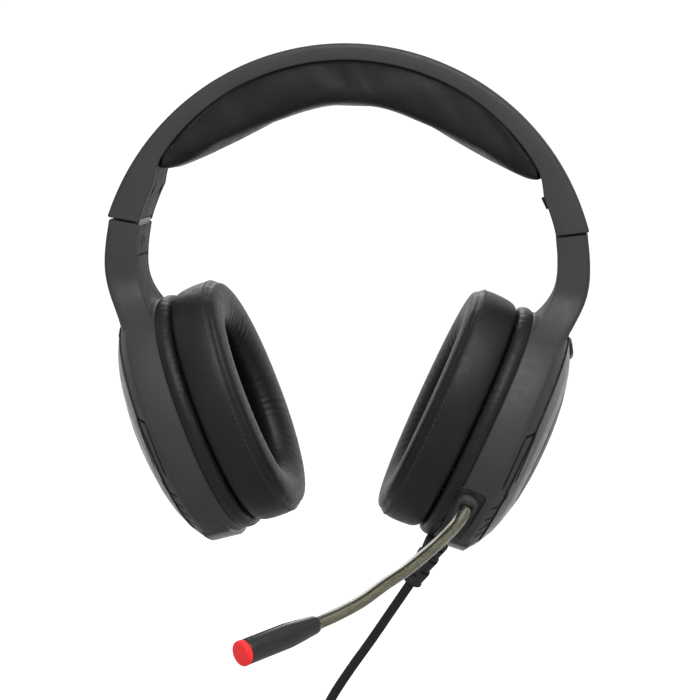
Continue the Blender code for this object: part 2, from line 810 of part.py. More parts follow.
# ---------------------------------------------------------------- cable


def cord_tube(name, route, radius, parent):
    """A free stretch of cable: a curve with a round bevel and filled caps."""
    line = smooth_line(route, 3)
    curve = bpy.data.curves.new(name, "CURVE")
    curve.dimensions = "3D"
    curve.bevel_depth = radius
    curve.bevel_resolution = 2
    curve.use_fill_caps = True
    spline = curve.splines.new("POLY")
    spline.points.add(len(line) - 1)
    for point, place in zip(spline.points, line):
        point.co = (*place, 1.0)
    curve.materials.append(material_for(name, BRAID))
    obj = bpy.data.objects.new(name, curve)
    bpy.context.scene.collection.objects.link(obj)
    attach(obj, parent)
    return obj


def coil_ring(angle, radius, points):
    """A ring of points round the coil's section, seen at one angle of its turn."""
    out = Vector((math.cos(angle), 0.0, math.sin(angle)))
    ring = []
    for j in range(points):
        around = math.tau * j / points
        sideways = Vector((0.0, radius * math.sin(around), 0.0))
        ring.append(COIL_CENTRE + out * (COIL_MEAN_RADIUS + radius * math.cos(around)) + sideways)
    return ring


def make_cable(cup_joint, housing):
    top, end = Vector(RELIEF_TOP), Vector(RELIEF_END)
    along = frame_along(top, end - top)
    long = (end - top).length
    relief = [
        (0.0024, -0.0024),
        (0.0024, 0.0004),
        (0.0045, 0.0004),
        (0.0047, 0.0030),
        (0.0046, long * 0.45),
        (0.0036, long * 0.85),
        (0.0034, long - GAP),
    ]
    add_node("cable_strain_relief", round_body(relief, points=16, frame=along), RUBBER, parent=cup_joint)
    gland = round_body([(0.0027, -0.0090), (0.0027, 0.0020)], points=16, frame=along)
    face = round_body([(0.0053, 0.0001), (0.0053, 0.0060)], points=16, frame=along)
    guides = [
        helper("cable_gland_hole_guide", gland, parent=cup_joint),
        helper("cable_gland_face_guide", face, parent=cup_joint),
    ]
    cut(housing, guides)
    cord_tube("cable_lead", CABLE_LEAD_ROUTE, CABLE_RADIUS, cup_joint)

    turn = [coil_ring(math.tau * i / 30, COIL_SECTION_RADIUS, 10) for i in range(30)]
    add_node("cable_coil", loft(turn, closed=True), BRAID, parent=cup_joint)

    cord_tube("cable_tail", CABLE_TAIL_ROUTE, CABLE_RADIUS, cup_joint)
    place = Vector(CABLE_TAIL_ROUTE[-1])
    down = frame_along(place, place - Vector(CABLE_TAIL_ROUTE[-2]))
    sleeve = [
        (0.0024, GAP),
        (0.0030, 0.0080),
        (0.0042, 0.0095),
        (0.0044, 0.0260),
        (0.0036, 0.0280),
    ]
    add_node("plug_sleeve", round_body(sleeve, points=16, frame=down), RUBBER, parent=cup_joint)
    pin = [(0.00175, 0.0283), (0.00175, 0.0400), (0.0012, 0.0408), (0.00165, 0.0418), (0.0006, 0.0430)]
    add_node("plug_pin", round_body(pin, points=16, frame=down), GOLD, parent=cup_joint)

    bore = COIL_SECTION_RADIUS + 0.0008
    spread = [math.radians(angle) for angle in (-9.0, 0.0, 9.0)]
    outer = [coil_ring(angle, bore + TIE_WALL, 12) for angle in spread]
    inner = [coil_ring(angle, bore, 12) for angle in spread]
    add_node("cable_tie_strap", loft(outer + inner[::-1], closed=True), CLOTH, parent=cup_joint)


def make_board(cup_joint):
    """Small circuit board behind the driver, between the microphone and the cable."""
    frame = cup_frame(1)
    board = box((-0.0130, -0.0390, -0.0204), (0.0130, -0.0260, -0.0192))
    add_node("signal_board", board, BOARD, frame, parent=cup_joint, smooth=False)


def main():
    clear_scene()
    bpy.context.scene.unit_settings.scale_length = 1.0
    band = add_empty("headband_root", Vector((0.0, 0.0, 0.0)))
    make_band_shell()
    make_band_inside()
    make_cushion()
    cups = {word: make_cup(side, word, band) for side, word in ((1, "left"), (-1, "right"))}
    joint, housing = cups["left"]
    make_microphone(joint, housing)
    make_cable(joint, housing)
    make_board(joint)


main()
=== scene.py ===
"""Looks of an over-ear gaming headset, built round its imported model.

Metres, +Z up. The wearer faces -Y, so +X is the wearer's left and carries the microphone and the cable.
"""

import json
import random
from math import asin, atan2, copysign, cos, degrees, hypot, radians, sin, sqrt, tau

import bmesh
import bpy
from mathutils import Matrix, Vector
from mathutils.bvhtree import BVHTree


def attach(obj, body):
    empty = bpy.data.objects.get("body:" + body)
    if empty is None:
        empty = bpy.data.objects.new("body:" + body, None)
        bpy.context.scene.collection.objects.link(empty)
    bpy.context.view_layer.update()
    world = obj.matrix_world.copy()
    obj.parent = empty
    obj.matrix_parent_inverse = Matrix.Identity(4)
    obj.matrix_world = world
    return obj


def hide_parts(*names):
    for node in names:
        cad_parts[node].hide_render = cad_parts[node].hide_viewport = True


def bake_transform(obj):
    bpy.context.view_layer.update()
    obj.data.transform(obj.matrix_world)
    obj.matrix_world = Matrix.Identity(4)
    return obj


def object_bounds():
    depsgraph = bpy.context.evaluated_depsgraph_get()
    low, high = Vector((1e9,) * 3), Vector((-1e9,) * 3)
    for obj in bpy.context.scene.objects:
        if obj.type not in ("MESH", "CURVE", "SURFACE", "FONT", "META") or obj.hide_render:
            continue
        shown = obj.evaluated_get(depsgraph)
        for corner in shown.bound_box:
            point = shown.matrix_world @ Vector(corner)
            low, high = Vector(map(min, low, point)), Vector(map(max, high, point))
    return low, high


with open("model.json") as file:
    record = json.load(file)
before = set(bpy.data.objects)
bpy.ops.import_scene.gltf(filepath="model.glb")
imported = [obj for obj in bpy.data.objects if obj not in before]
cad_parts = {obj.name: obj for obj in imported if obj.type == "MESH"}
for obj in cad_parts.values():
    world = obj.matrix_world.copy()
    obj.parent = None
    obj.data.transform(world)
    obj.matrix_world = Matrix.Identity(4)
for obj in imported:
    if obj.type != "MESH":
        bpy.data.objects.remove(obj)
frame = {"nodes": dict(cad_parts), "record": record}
cad_low, cad_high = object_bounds()

# Camera, as a turn round the headset, a height above the horizon and a roll of the picture.
CAMERA_AZIMUTH = radians(4.35)
CAMERA_ELEVATION = radians(5.62)
CAMERA_ROLL = radians(1.64)
CAMERA_TARGET = Vector((0.0016, 0.0, -0.0970))
CAMERA_DISTANCE = 1.0
CAMERA_LENS = 128.57

# Headband, seen from the front.
BAND_RADIUS = 0.0990
BAND_CENTRE_Z = -0.0746
BAND_OUTER_END = radians(73.3)
BAND_INNER_END = radians(72.1)
BAND_HALF_DEPTH = 0.0165
BAND_WALL = 0.0020
BAND_INNER_RADII = [
    (0.0, 0.0926),
    (30.0, 0.0923),
    (45.0, 0.0914),
    (52.0, 0.0909),
    (55.5, 0.0904),
    (58.0, 0.0893),
    (61.5, 0.0872),
    (66.0, 0.0867),
    (74.0, 0.0860),
]
END_COVER_START = radians(51.28113)
COVER_SLOT_ANGLE = radians(63.2)
GAP = 0.0003
CUSHION_HALF_DEPTH = 0.0140
CUSHION_UNDERSIDE = [
    (0.0000, 0.0000),
    (0.0060, -0.0002),
    (0.0120, -0.0009),
    (0.0195, -0.0028),
    (0.0275, -0.0057),
    (0.0350, -0.0087),
    (0.0430, -0.0126),
    (0.0510, -0.0165),
    (0.0590, -0.0207),
    (0.0670, -0.0246),
    (0.0712, -0.0263),
    (0.0738, -0.0266),
]

# Arm: x and z of its outer and inner edges, down to where it starts to flare into the cup.
ARM_OUTER = [(0.0943, -0.0470), (0.0956, -0.0580), (0.0956, -0.0670), (0.0938, -0.0770)]
ARM_INNER = [(0.0819, -0.0487), (0.0829, -0.0580), (0.0828, -0.0666), (0.0808, -0.0748)]
ARM_HALF_DEPTH = 0.0162
ARM_THICKNESS = 0.0127
COVER_HALF_DEPTH = 0.0148
COVER_THICKNESS = 0.0018
COVER_SPLIT = 0.62
LOWER_COVER_MARGIN = 0.0007
FLARE_HALF_WIDTH = 0.0245
FLARE_INNER = -0.0064
FLARE_OUTER = -0.0212

# Ear cup. Cup coordinates are front, up and inward, from the centre of the ear pad's mounting plane.
CUP_CENTRE = Vector((0.0498, -0.0075, -0.1212))
CUP_TILT = radians(22.8)
CUP_YAW = radians(4.2)
OVAL_POWER = 2.15
CUP_POINTS = 168
CUP_PROFILE = [
    (0.0486, 0.0414, -0.0062),
    (0.0492, 0.0420, -0.0130),
    (0.0490, 0.0418, -0.0182),
    (0.0452, 0.0380, -0.0222),
    (0.0390, 0.0322, -0.0260),
    (0.0310, 0.0255, -0.0287),
    (0.0080, 0.0070, -0.0311),
]
STITCHES = 140

# Microphone boom and cable, as routes.
MIC_EXIT = (0.0362, -0.0270, -0.0106)
BOOM_RADIUS = 0.0024
BOOM_ROUTE = [
    (0.0516, -0.0420, -0.1508),
    (0.0509, -0.0456, -0.1529),
    (0.0477, -0.0505, -0.1577),
    (0.0425, -0.0600, -0.1622),
    (0.0365, -0.0690, -0.1667),
    (0.0302, -0.0780, -0.1709),
    (0.0231, -0.0880, -0.1747),
    (0.0158, -0.0970, -0.1792),
    (0.0077, -0.1040, -0.1830),
    (-0.0004, -0.1100, -0.1861),
]
BOOM_SWING_PLACE = Vector((0.0492, -0.0509, -0.1585))
BOOM_BEND_PLACE = Vector((0.0252, -0.0868, -0.1752))
CAPSULE_END = Vector((-0.0222, -0.1320, -0.1921))
CABLE_RADIUS = 0.0019
RELIEF_TOP = Vector((0.0408, -0.0140, -0.1684))
RELIEF_END = Vector((0.0291, -0.0140, -0.1882))
CABLE_LEAD_ROUTE = [
    (0.0291, -0.0140, -0.1882),
    (0.0257, -0.0140, -0.1936),
    (0.0224, -0.0140, -0.1988),
    (0.0145, -0.0140, -0.2114),
    (0.0068, -0.0140, -0.2231),
    (-0.0005, -0.0138, -0.2353),
    (-0.0060, -0.0133, -0.2480),
    (-0.0085, -0.0128, -0.2610),
]
COIL_CENTRE = Vector((0.0155, -0.0120, -0.2840))
COIL_MEAN_RADIUS = 0.0240
COIL_SECTION_RADIUS = 0.0078
COIL_TURNS = 12
COIL_PITCH = 0.00385
COIL_START = radians(163.0)
COIL_END = radians(243.0)
CABLE_TAIL_ROUTE = [
    (0.0155, -0.0120, -0.3165),
    (0.0157, -0.0122, -0.3230),
    (0.0163, -0.0125, -0.3300),
    (0.0168, -0.0128, -0.3370),
    (0.0170, -0.0130, -0.3430),
]

SWELLING_FRAMES = 14
SIDE_SLOT_DEPTH = 0.0012
PAD_SEAM = 7

# ---- camera, light and stage


def added(name, data, matrix=None):
    """A new object in the scene."""
    obj = bpy.data.objects.new(name, data)
    bpy.context.scene.collection.objects.link(obj)
    if matrix is not None:
        obj.matrix_world = matrix
    return obj


def turned_to(*axes):
    """The 4x4 turn whose X, Y and Z run along the given axes."""
    return Matrix(axes).transposed().to_4x4()


def make_camera():
    level_back = cos(CAMERA_ELEVATION)
    sideways, forwards = sin(CAMERA_AZIMUTH) * level_back, cos(CAMERA_AZIMUTH) * level_back
    back = Vector((sideways, -forwards, sin(CAMERA_ELEVATION)))
    level = Vector((0.0, 0.0, 1.0)).cross(back).normalized()
    steep = back.cross(level)
    right = level * cos(CAMERA_ROLL) + steep * sin(CAMERA_ROLL)
    up = steep * cos(CAMERA_ROLL) - level * sin(CAMERA_ROLL)
    data = bpy.data.cameras.new("camera")
    data.lens = CAMERA_LENS
    data.sensor_width = 36.0
    place = Matrix.Translation(CAMERA_TARGET + back * CAMERA_DISTANCE)
    bpy.context.scene.camera = added("camera", data, place @ turned_to(right, up, back))


def area_light(name, place, size, power):
    """A round lamp that faces the headset's middle."""
    data = bpy.data.lights.new(name, "AREA")
    data.shape = "DISK"
    data.size = size
    data.energy = power
    turn = (Vector((0.0, 0.0, -0.10)) - Vector(place)).to_track_quat("-Z", "Y")
    added(name, data, Matrix.Translation(place) @ turn.to_matrix().to_4x4())


def fade_along_y(tree, coordinates, limits, target):
    """Drives a socket by Y: limits are the Y where the fade starts and ends, and the values there."""
    parts = tree.nodes.new("ShaderNodeSeparateXYZ")
    level = tree.nodes.new("ShaderNodeMapRange")
    for key, value in zip(("From Min", "From Max", "To Min", "To Max"), limits):
        level.inputs[key].default_value = value
    tree.links.new(tree.nodes.new("ShaderNodeTexCoord").outputs[coordinates], parts.inputs["Vector"])
    tree.links.new(parts.outputs["Y"], level.inputs["Value"])
    tree.links.new(level.outputs["Result"], target)


def make_backdrop():
    """White behind the headset and dimmer towards the viewer: edges catch light and faces stay dark."""
    world = bpy.data.worlds.new("studio")
    world.use_nodes = True
    background = world.node_tree.nodes["Background"]
    background.inputs["Color"].default_value = (1.0, 1.0, 1.0, 1.0)
    fade_along_y(world.node_tree, "Generated", (0.30, 0.96, 0.46, 1.12), background.inputs["Strength"])
    bpy.context.scene.world = world


def make_floor():
    reach, height = 8.0, cad_low.z - 0.030
    corners = [(x * reach, y * reach, height) for x, y in ((-1, -1), (1, -1), (1, 1), (-1, 1))]
    mesh = bpy.data.meshes.new("pale_floor")
    mesh.from_pydata(corners, [], [(0, 1, 2, 3)])
    pale = bpy.data.materials.new("pale_floor")
    pale.use_nodes = True
    shader = pale.node_tree.nodes["Principled BSDF"]
    fade_along_y(pale.node_tree, "Object", (0.1, 0.8, 0.44, 0.98), shader.inputs["Base Color"])
    shader.inputs["Roughness"].default_value = 0.9
    shader.inputs["Specular IOR Level"].default_value = 0.0
    mesh.materials.append(pale)
    added("pale_floor", mesh)


def make_stage():
    bpy.context.scene.view_settings.view_transform = "Standard"
    make_backdrop()
    make_floor()
    sun = bpy.data.lights.new("sun", "SUN")
    sun.energy = 2.0
    sun.angle = radians(50.0)
    added("sun", sun).rotation_euler = (radians(32.0), radians(11.0), 0.0)
    area_light("key_light", (0.2, -1.45, 0.8), 0.7, 11.0)
    area_light("back_light", (-0.4, 1.6, 0.9), 1.1, 7.0)


# ---- materials


class Shader:
    """A material whose Principled values come from nodes, with a few short-hands to wire them."""

    def __init__(self, name, **settings):
        self.material = bpy.data.materials.new(name)
        self.material.use_nodes = True
        self.tree = self.material.node_tree
        self.inputs = self.tree.nodes["Principled BSDF"].inputs
        self.place = self.add("ShaderNodeTexCoord").outputs["Object"]
        for key, value in settings.items():
            self.inputs[key.replace("_", " ")].default_value = value

    def add(self, kind, **settings):
        node = self.tree.nodes.new(kind)
        for key, value in settings.items():
            setattr(node, key, value)
        return node

    def link(self, source, target):
        self.tree.links.new(source, target)

    def noise(self, scale, detail=3.0, roughness=0.5):
        node = self.add("ShaderNodeTexNoise")
        for key, value in (("Scale", scale), ("Detail", detail), ("Roughness", roughness)):
            node.inputs[key].default_value = value
        self.link(self.place, node.inputs["Vector"])
        return node.outputs["Fac"]

    def cells(self, scale, feature="F1"):
        node = self.add("ShaderNodeTexVoronoi", feature=feature)
        node.inputs["Scale"].default_value = scale
        self.link(self.place, node.inputs["Vector"])
        return node.outputs["Distance"]

    def maths(self, operation, *values):
        node = self.add("ShaderNodeMath", operation=operation)
        for socket, value in zip(node.inputs, values):
            if isinstance(value, float):
                socket.default_value = value
            else:
                self.link(value, socket)
        return node.outputs[0]

    def gloss(self, source, low, high):
        """Roughness between two values, led by a noise."""
        node = self.add("ShaderNodeMapRange")
        for key, value in (("From Min", 0.3), ("From Max", 0.7), ("To Min", low), ("To Max", high)):
            node.inputs[key].default_value = value
        self.link(source, node.inputs["Value"])
        self.link(node.outputs["Result"], self.inputs["Roughness"])

    def colours(self, source, dark, light):
        """Base colour between two colours, led by a noise."""
        ramp = self.add("ShaderNodeValToRGB")
        for end, position, colour in zip(ramp.color_ramp.elements, (0.3, 0.7), (dark, light)):
            end.position = position
            end.color = (*colour, 1.0)
        self.link(source, ramp.inputs["Fac"])
        self.link(ramp.outputs["Color"], self.inputs["Base Color"])

    def shade(self, source, colour, dark, light):
        """Base colour between two tints of one colour."""
        self.colours(source, *([min(1.0, channel * tint) for channel in colour] for tint in (dark, light)))

    def bump(self, *layers):
        """Stacks (height, depth in metres) layers into the normal."""
        normal = None
        for height, depth in layers:
            node = self.add("ShaderNodeBump")
            node.inputs["Distance"].default_value = depth
            self.link(height, node.inputs["Height"])
            if normal is not None:
                self.link(normal, node.inputs["Normal"])
            normal = node.outputs["Normal"]
        self.link(normal, self.inputs["Normal"])


def plastic(name, colour, roughness, depth=0.000012, specular=0.4):
    """Moulded plastic with a fine spark-eroded texture and faint cloudy variation in shade and gloss."""
    made = Shader(name, Specular_IOR_Level=specular)
    clouds = made.maths("MULTIPLY", made.noise(70.0, 4.0), 0.45)
    grains = made.maths("MULTIPLY", made.noise(1100.0, 3.0, 0.7), 0.55)
    made.shade(made.maths("ADD", clouds, grains), colour, 0.80, 1.20)
    made.gloss(made.noise(260.0), roughness - 0.05, roughness + 0.06)
    made.bump((made.noise(2600.0, 2.0, 0.6), depth), (made.cells(1900.0), depth * 1.2))
    return made.material


def leatherette(name, colour, roughness):
    """Soft artificial leather: pebbled grain with fine creases between the pebbles."""
    made = Shader(name, Specular_IOR_Level=0.22)
    made.shade(made.noise(55.0, 5.0), colour, 0.86, 1.16)
    made.gloss(made.noise(420.0), roughness - 0.06, roughness + 0.07)
    creases = made.maths("MINIMUM", made.cells(1250.0, "DISTANCE_TO_EDGE"), 0.12)
    pebbles = made.cells(1250.0, "SMOOTH_F1")
    made.bump((creases, 0.00006), (pebbles, 0.00002), (made.noise(190.0, 2.0), 0.00006))
    return made.material


def crossed(made, along, across):
    """Height of two sets of strands that cross over and under, from the phase of each."""
    return made.maths("MULTIPLY", made.maths("SINE", along), made.maths("SINE", across))


def woven(name, colour, thread=0.0007):
    """Plain weave of threads along Y and Z, with painted shade where the threads dip under and a painted
    highlight on their crowns.
    """
    made = Shader(name, Specular_IOR_Level=0.12)
    parts = made.add("ShaderNodeSeparateXYZ")
    made.link(made.place, parts.inputs["Vector"])
    phases = [made.maths("MULTIPLY", parts.outputs[axis], tau / thread) for axis in "YZ"]
    height = crossed(made, *phases)
    # Painted shade and highlight: the base colour follows the weave's height, darker where threads dip under
    # and lighter on their crowns.
    made.shade(made.maths("MULTIPLY_ADD", height, 0.35, 0.5), colour, 0.6, 1.4)
    made.gloss(made.noise(900.0), 0.82, 0.95)
    made.bump((height, 0.00008), (made.noise(5000.0), 0.00002))
    return made.material


def braided(name, colour, strands, crossings):
    """A braid round a tube, with painted shade between the strands and a painted highlight on their crowns.
    The UV map holds turns round and metres along, and crossings is per metre.
    """
    made = Shader(name, Specular_IOR_Level=0.25)
    parts = made.add("ShaderNodeSeparateXYZ")
    made.link(made.add("ShaderNodeTexCoord").outputs["UV"], parts.inputs["Vector"])
    turn = made.maths("MULTIPLY", parts.outputs["X"], strands * tau)
    run = made.maths("MULTIPLY", parts.outputs["Y"], crossings * tau)
    height = crossed(made, made.maths("ADD", turn, run), made.maths("SUBTRACT", turn, run))
    # Painted shade and highlight: the base colour follows the braid's height, dark in the gaps between
    # strands and light on their crowns.
    made.shade(made.maths("MULTIPLY_ADD", height, 0.4, 0.5), colour, 0.45, 1.5)
    made.gloss(made.noise(700.0), 0.55, 0.75)
    made.bump((height, 0.00014), (made.noise(6000.0), 0.00003))
    return made.material


def metal(name, colour, roughness):
    """Metal brushed along Z: noise drawn out in that direction."""
    made = Shader(name, Metallic=1.0)
    mapping = made.add("ShaderNodeMapping")
    mapping.inputs["Scale"].default_value = (1.0, 1.0, 0.02)
    made.link(made.place, mapping.inputs["Vector"])
    made.place = mapping.outputs["Vector"]
    lines = made.noise(4200.0, 2.0)
    made.shade(lines, colour, 0.85, 1.12)
    made.gloss(lines, roughness - 0.08, roughness + 0.10)
    made.bump((lines, 0.000008))
    return made.material


def rubber(name, colour):
    made = Shader(name, Specular_IOR_Level=0.35)
    made.shade(made.noise(300.0, 5.0), colour, 0.8, 1.25)
    made.gloss(made.noise(1500.0), 0.52, 0.70)
    made.bump((made.noise(3200.0), 0.000018))
    return made.material


def clear_sheath(name):
    """Soft clear tubing, a little warm, with faint ripples from its extrusion."""
    made = Shader(name, Transmission_Weight=1.0, Roughness=0.22, IOR=1.40, Specular_IOR_Level=0.35)
    made.colours(made.noise(120.0), (0.80, 0.80, 0.71), (0.88, 0.88, 0.80))
    made.bump((made.noise(350.0, 2.0), 0.000012))
    return made.material


def glossy(name, colour, roughness, coat=0.6):
    """Smooth plastic, film or lacquer, with a clear coat where coat is above 0."""
    made = Shader(name, Coat_Weight=coat, Coat_Roughness=0.08)
    made.shade(made.noise(240.0, 4.0), colour, 0.93, 1.07)
    made.gloss(made.noise(800.0), roughness - 0.03, roughness + 0.04)
    made.bump((made.noise(2200.0), 0.000006))
    return made.material


def make_materials():
    return {
        "shell_plastic": plastic("shell_plastic", (0.0290, 0.0300, 0.0318), 0.52, specular=0.36),
        "plate_plastic": plastic("plate_plastic", (0.0240, 0.0248, 0.0262), 0.33, 0.000006, 0.5),
        "cover_plastic": plastic("cover_plastic", (0.0200, 0.0207, 0.0217), 0.62, 0.000008, 0.18),
        "dark_plastic": plastic("dark_plastic", (0.0100, 0.0105, 0.0110), 0.50),
        "satin_plastic": plastic("satin_plastic", (0.0125, 0.0130, 0.0135), 0.27, 0.000004, 0.6),
        "leatherette": leatherette("leatherette", (0.0098, 0.0102, 0.0110), 0.46),
        "cloth": woven("cloth", (0.0060, 0.0060, 0.0065)),
        "thread": woven("thread", (0.060, 0.061, 0.063), 0.0004),
        "steel": metal("steel", (0.125, 0.125, 0.128), 0.45),
        "magnet": metal("magnet", (0.35, 0.35, 0.36), 0.38),
        "diaphragm_film": glossy("diaphragm_film", (0.30, 0.25, 0.16), 0.25),
        "circuit_board": glossy("circuit_board", (0.02, 0.10, 0.05), 0.40, 0.3),
        "clear_sheath": clear_sheath("clear_sheath"),
        "boom_core": plastic("boom_core", (0.180, 0.176, 0.125), 0.45, 0.00002),
        "thin_wire": plastic("thin_wire", (0.050, 0.049, 0.037), 0.50, 0.00002),
        "red_cap": glossy("red_cap", (0.96, 0.014, 0.016), 0.55, 0.0),
        "rubber": rubber("rubber", (0.0130, 0.0135, 0.0140)),
        "cable_braid": braided("cable_braid", (0.0110, 0.0112, 0.0118), 8.0, 420.0),
        "gold_plate": metal("gold_plate", (0.90, 0.66, 0.30), 0.20),
    }


# ---- mesh helpers


def skin(rings, closed=False, caps=(True, True)):
    """Vertices and faces of a loft through rings of equal counts, with a cap at either end."""
    count = len(rings[0])
    verts = [point for ring in rings for point in ring]
    faces = []
    for k in range(len(rings) if closed else len(rings) - 1):
        low, high = k * count, (k + 1) % len(rings) * count
        for i in range(count):
            j = (i + 1) % count
            faces.append((low + i, high + i, high + j, low + j))
    if caps[0] and not closed:
        faces.append(tuple(range(count)))
    if caps[1] and not closed:
        faces.append(tuple(range(len(verts) - count, len(verts)))[::-1])
    return verts, faces


def joined(shapes):
    """Several (verts, faces) shapes as one."""
    verts, faces = [], []
    for more_verts, more_faces in shapes:
        base = len(verts)
        verts += more_verts
        faces += [tuple(base + index for index in face) for face in more_faces]
    return verts, faces


def mirrored(shape, side):
    return [Vector((v[0] * side, v[1], v[2])) for v in shape[0]], shape[1]


def piece(name, shape, material, body, replaces=(), side=1, sharp=38.0):
    """A named object from (verts, faces), mirrored in X for the right side, riding on a body."""
    verts, faces = mirrored(shape, side)
    bm = bmesh.new()
    made = [bm.verts.new(point) for point in verts]
    for face in faces:
        bm.faces.new([made[i] for i in face])
    bmesh.ops.recalc_face_normals(bm, faces=bm.faces)
    if bm.calc_volume(signed=True) < 0.0:
        bmesh.ops.reverse_faces(bm, faces=bm.faces)
    mesh = bpy.data.meshes.new(name)
    bm.to_mesh(mesh)
    bm.free()
    mesh.shade_smooth()
    mesh.set_sharp_from_angle(angle=radians(sharp))
    mesh.materials.append(materials[material])
    obj = added(name, mesh)
    if body:
        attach(obj, body)
    if replaces:
        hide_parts(*replaces)
    return obj


def apply_modifiers(obj):
    """Bakes the modifiers into the mesh."""
    bpy.context.view_layer.update()
    graph = bpy.context.evaluated_depsgraph_get()
    baked = bpy.data.meshes.new_from_object(obj.evaluated_get(graph))
    old = obj.data
    obj.modifiers.clear()
    obj.data = baked
    bpy.data.meshes.remove(old)


def carve(obj, shapes, sharp=32.0):
    """Cuts closed (verts, faces) shapes out of obj."""
    for shape in shapes:
        tool = piece("carving_tool", shape, "dark_plastic", None)
        cut = obj.modifiers.new("cut", "BOOLEAN")
        cut.object = tool
        apply_modifiers(obj)
        bpy.data.objects.remove(tool)
    obj.data.shade_smooth()
    obj.data.set_sharp_from_angle(angle=radians(sharp))


def catmull(before, start, end, after, t):
    return (
        start * 2
        + (end - before) * t
        + (before * 2 - start * 5 + end * 4 - after) * t * t
        + (start * 3 - before - end * 3 + after) * t * t * t
    ) * 0.5


def on_span(points, i, t):
    """A point on the Catmull-Rom curve through points, at a share of its span i."""
    given = [Vector(point) for point in points]
    before = given[i - 1] if i else given[0] * 2 - given[1]
    after = given[i + 2] if i + 2 < len(given) else given[-1] * 2 - given[-2]
    return catmull(before, given[i], given[i + 1], after, t)


def curve_at(points, at):
    """The curve's point at a position counted in spans."""
    i = min(int(at), len(points) - 2)
    return on_span(points, i, at - i)


def smooth_line(points, per_span):
    """Points on a Catmull-Rom curve through the given ones."""
    line = [on_span(points, i, k / per_span) for i in range(len(points) - 1) for k in range(per_span)]
    return line + [Vector(points[-1])]


def line_length(line):
    return sum((b - a).length for a, b in zip(line, line[1:]))


def evenly(line, spacing):
    """The same line with points a fixed distance apart."""
    total = line_length(line)
    count = max(2, round(total / spacing))
    found, walked = [], 0.0
    for a, b in zip(line, line[1:]):
        step = (b - a).length
        while len(found) <= count and total * len(found) / count <= walked + step + 1e-12:
            found.append(a + (b - a) * ((total * len(found) / count - walked) / step))
        walked += step
    return found + [line[-1].copy()] * (count + 1 - len(found))


def stretch_of(line, start, end):
    """The part of a polyline between two distances along it."""
    found, walked = [], 0.0
    for a, b in zip(line, line[1:]):
        step = (b - a).length
        for distance in (start, end):
            if walked <= distance < walked + step:
                found.append(a + (b - a) * ((distance - walked) / step))
        if start < walked + step < end:
            found.append(b)
        walked += step
    return found


def direction_at(line, i):
    return (line[min(i + 1, len(line) - 1)] - line[max(i - 1, 0)]).normalized()


def tube(line, radius, points=16, ends=0.0, caps=(True, True)):
    """A rod along a line, turned as little as possible on its way and narrower by ends at its two ends."""
    rings, side = [], direction_at(line, 0).orthogonal()
    for i, place in enumerate(line):
        ahead = direction_at(line, i)
        side = (side - ahead * side.dot(ahead)).normalized()
        other = ahead.cross(side)
        size = radius - ends if i in (0, len(line) - 1) else radius
        turns = [tau * j / points for j in range(points)]
        rings.append([place + side * cos(a) * size + other * sin(a) * size for a in turns])
    return skin(rings, caps=caps)


def frame_along(place, direction, up=(0.0, -1.0, 0.0)):
    """A matrix at place whose +Z runs along direction and whose +X is as near to up as it can be."""
    ahead = Vector(direction).normalized()
    side = Vector(up)
    side = (side - ahead * side.dot(ahead)).normalized()
    return Matrix.Translation(place) @ turned_to(side, ahead.cross(side), ahead)


def turned(profile, where, points=40, closed=False):
    """A turned body from (radius, z) pairs, in the frame where."""
    turns = [tau * j / points for j in range(points)]
    rings = [[where @ Vector((radius * cos(a), radius * sin(a), z)) for a in turns] for radius, z in profile]
    return skin(rings, closed=closed)


def rounded(before, corner, after, radius, share, steps):
    """Points of a soft corner that uses at most a share of the edges on either side."""
    reach = min(radius, (before - corner).length * share, (after - corner).length * share)
    start = corner + (before - corner).normalized() * reach
    end = corner + (after - corner).normalized() * reach
    spots = [k / steps for k in range(steps + 1)]
    return [start * (1 - t) ** 2 + corner * 2 * t * (1 - t) + end * t * t for t in spots]


def softened(profile, radius=0.0003, steps=3):
    """The same open profile with its corners rounded."""
    points = [Vector(point) for point in profile]
    out = [points[0]]
    for before, corner, after in zip(points, points[1:], points[2:]):
        out += rounded(before, corner, after, radius, 0.45, steps)
    return out + [points[-1]]


def filleted(corners, steps=4):
    """A closed outline from (x, y, radius) corners."""
    places = [Vector(corner[:2]) for corner in corners]
    outline = []
    for i, place in enumerate(places):
        after = places[(i + 1) % len(places)]
        outline += rounded(places[i - 1], place, after, corners[i][2], 0.49, steps)
    return outline


def shrunk(outline, distance):
    """A closed outline moved inwards."""
    if distance == 0.0:
        return outline
    area = sum(a.x * b.y - b.x * a.y for a, b in zip(outline, outline[1:] + outline[:1]))
    sign = 1.0 if area > 0 else -1.0
    moved = []
    for i, point in enumerate(outline):
        along = outline[(i + 1) % len(outline)] - outline[i - 1]
        across = Vector((-along.y, along.x)).normalized() if along.length > 1e-9 else Vector((0.0, 0.0))
        moved.append(point + across * sign * distance)
    return moved


def slab(outline, low, high, where, edge=0.0003):
    """A prism with bevelled edges between two heights of the frame where."""
    levels = ((edge, low), (0.0, low + edge), (0.0, high - edge), (edge, high))
    return skin([[where @ Vector((p.x, p.y, z)) for p in shrunk(outline, inset)] for inset, z in levels])


def pill(length, width, steps=6):
    """Outline of a slot with round ends, along x."""
    half, radius = length / 2 - width / 2, width / 2
    angles = [radians(180.0 * k / steps - 90.0) for k in range(steps + 1)]
    return [Vector((half + radius * cos(a), radius * sin(a))) * sign for sign in (1, -1) for a in angles]


# ---- cup coordinates

CUP_UP = Vector((sin(CUP_TILT), 0.0, cos(CUP_TILT)))
FLAT_IN = Vector((-cos(CUP_TILT), 0.0, sin(CUP_TILT)))
FLAT_FRONT = Vector((0.0, -1.0, 0.0))
CUP_IN = FLAT_IN * cos(CUP_YAW) + FLAT_FRONT * sin(CUP_YAW)
CUP_FRONT = FLAT_FRONT * cos(CUP_YAW) - FLAT_IN * sin(CUP_YAW)
CUP_FRAME = Matrix.Translation(CUP_CENTRE) @ turned_to(CUP_FRONT, CUP_UP, CUP_IN)


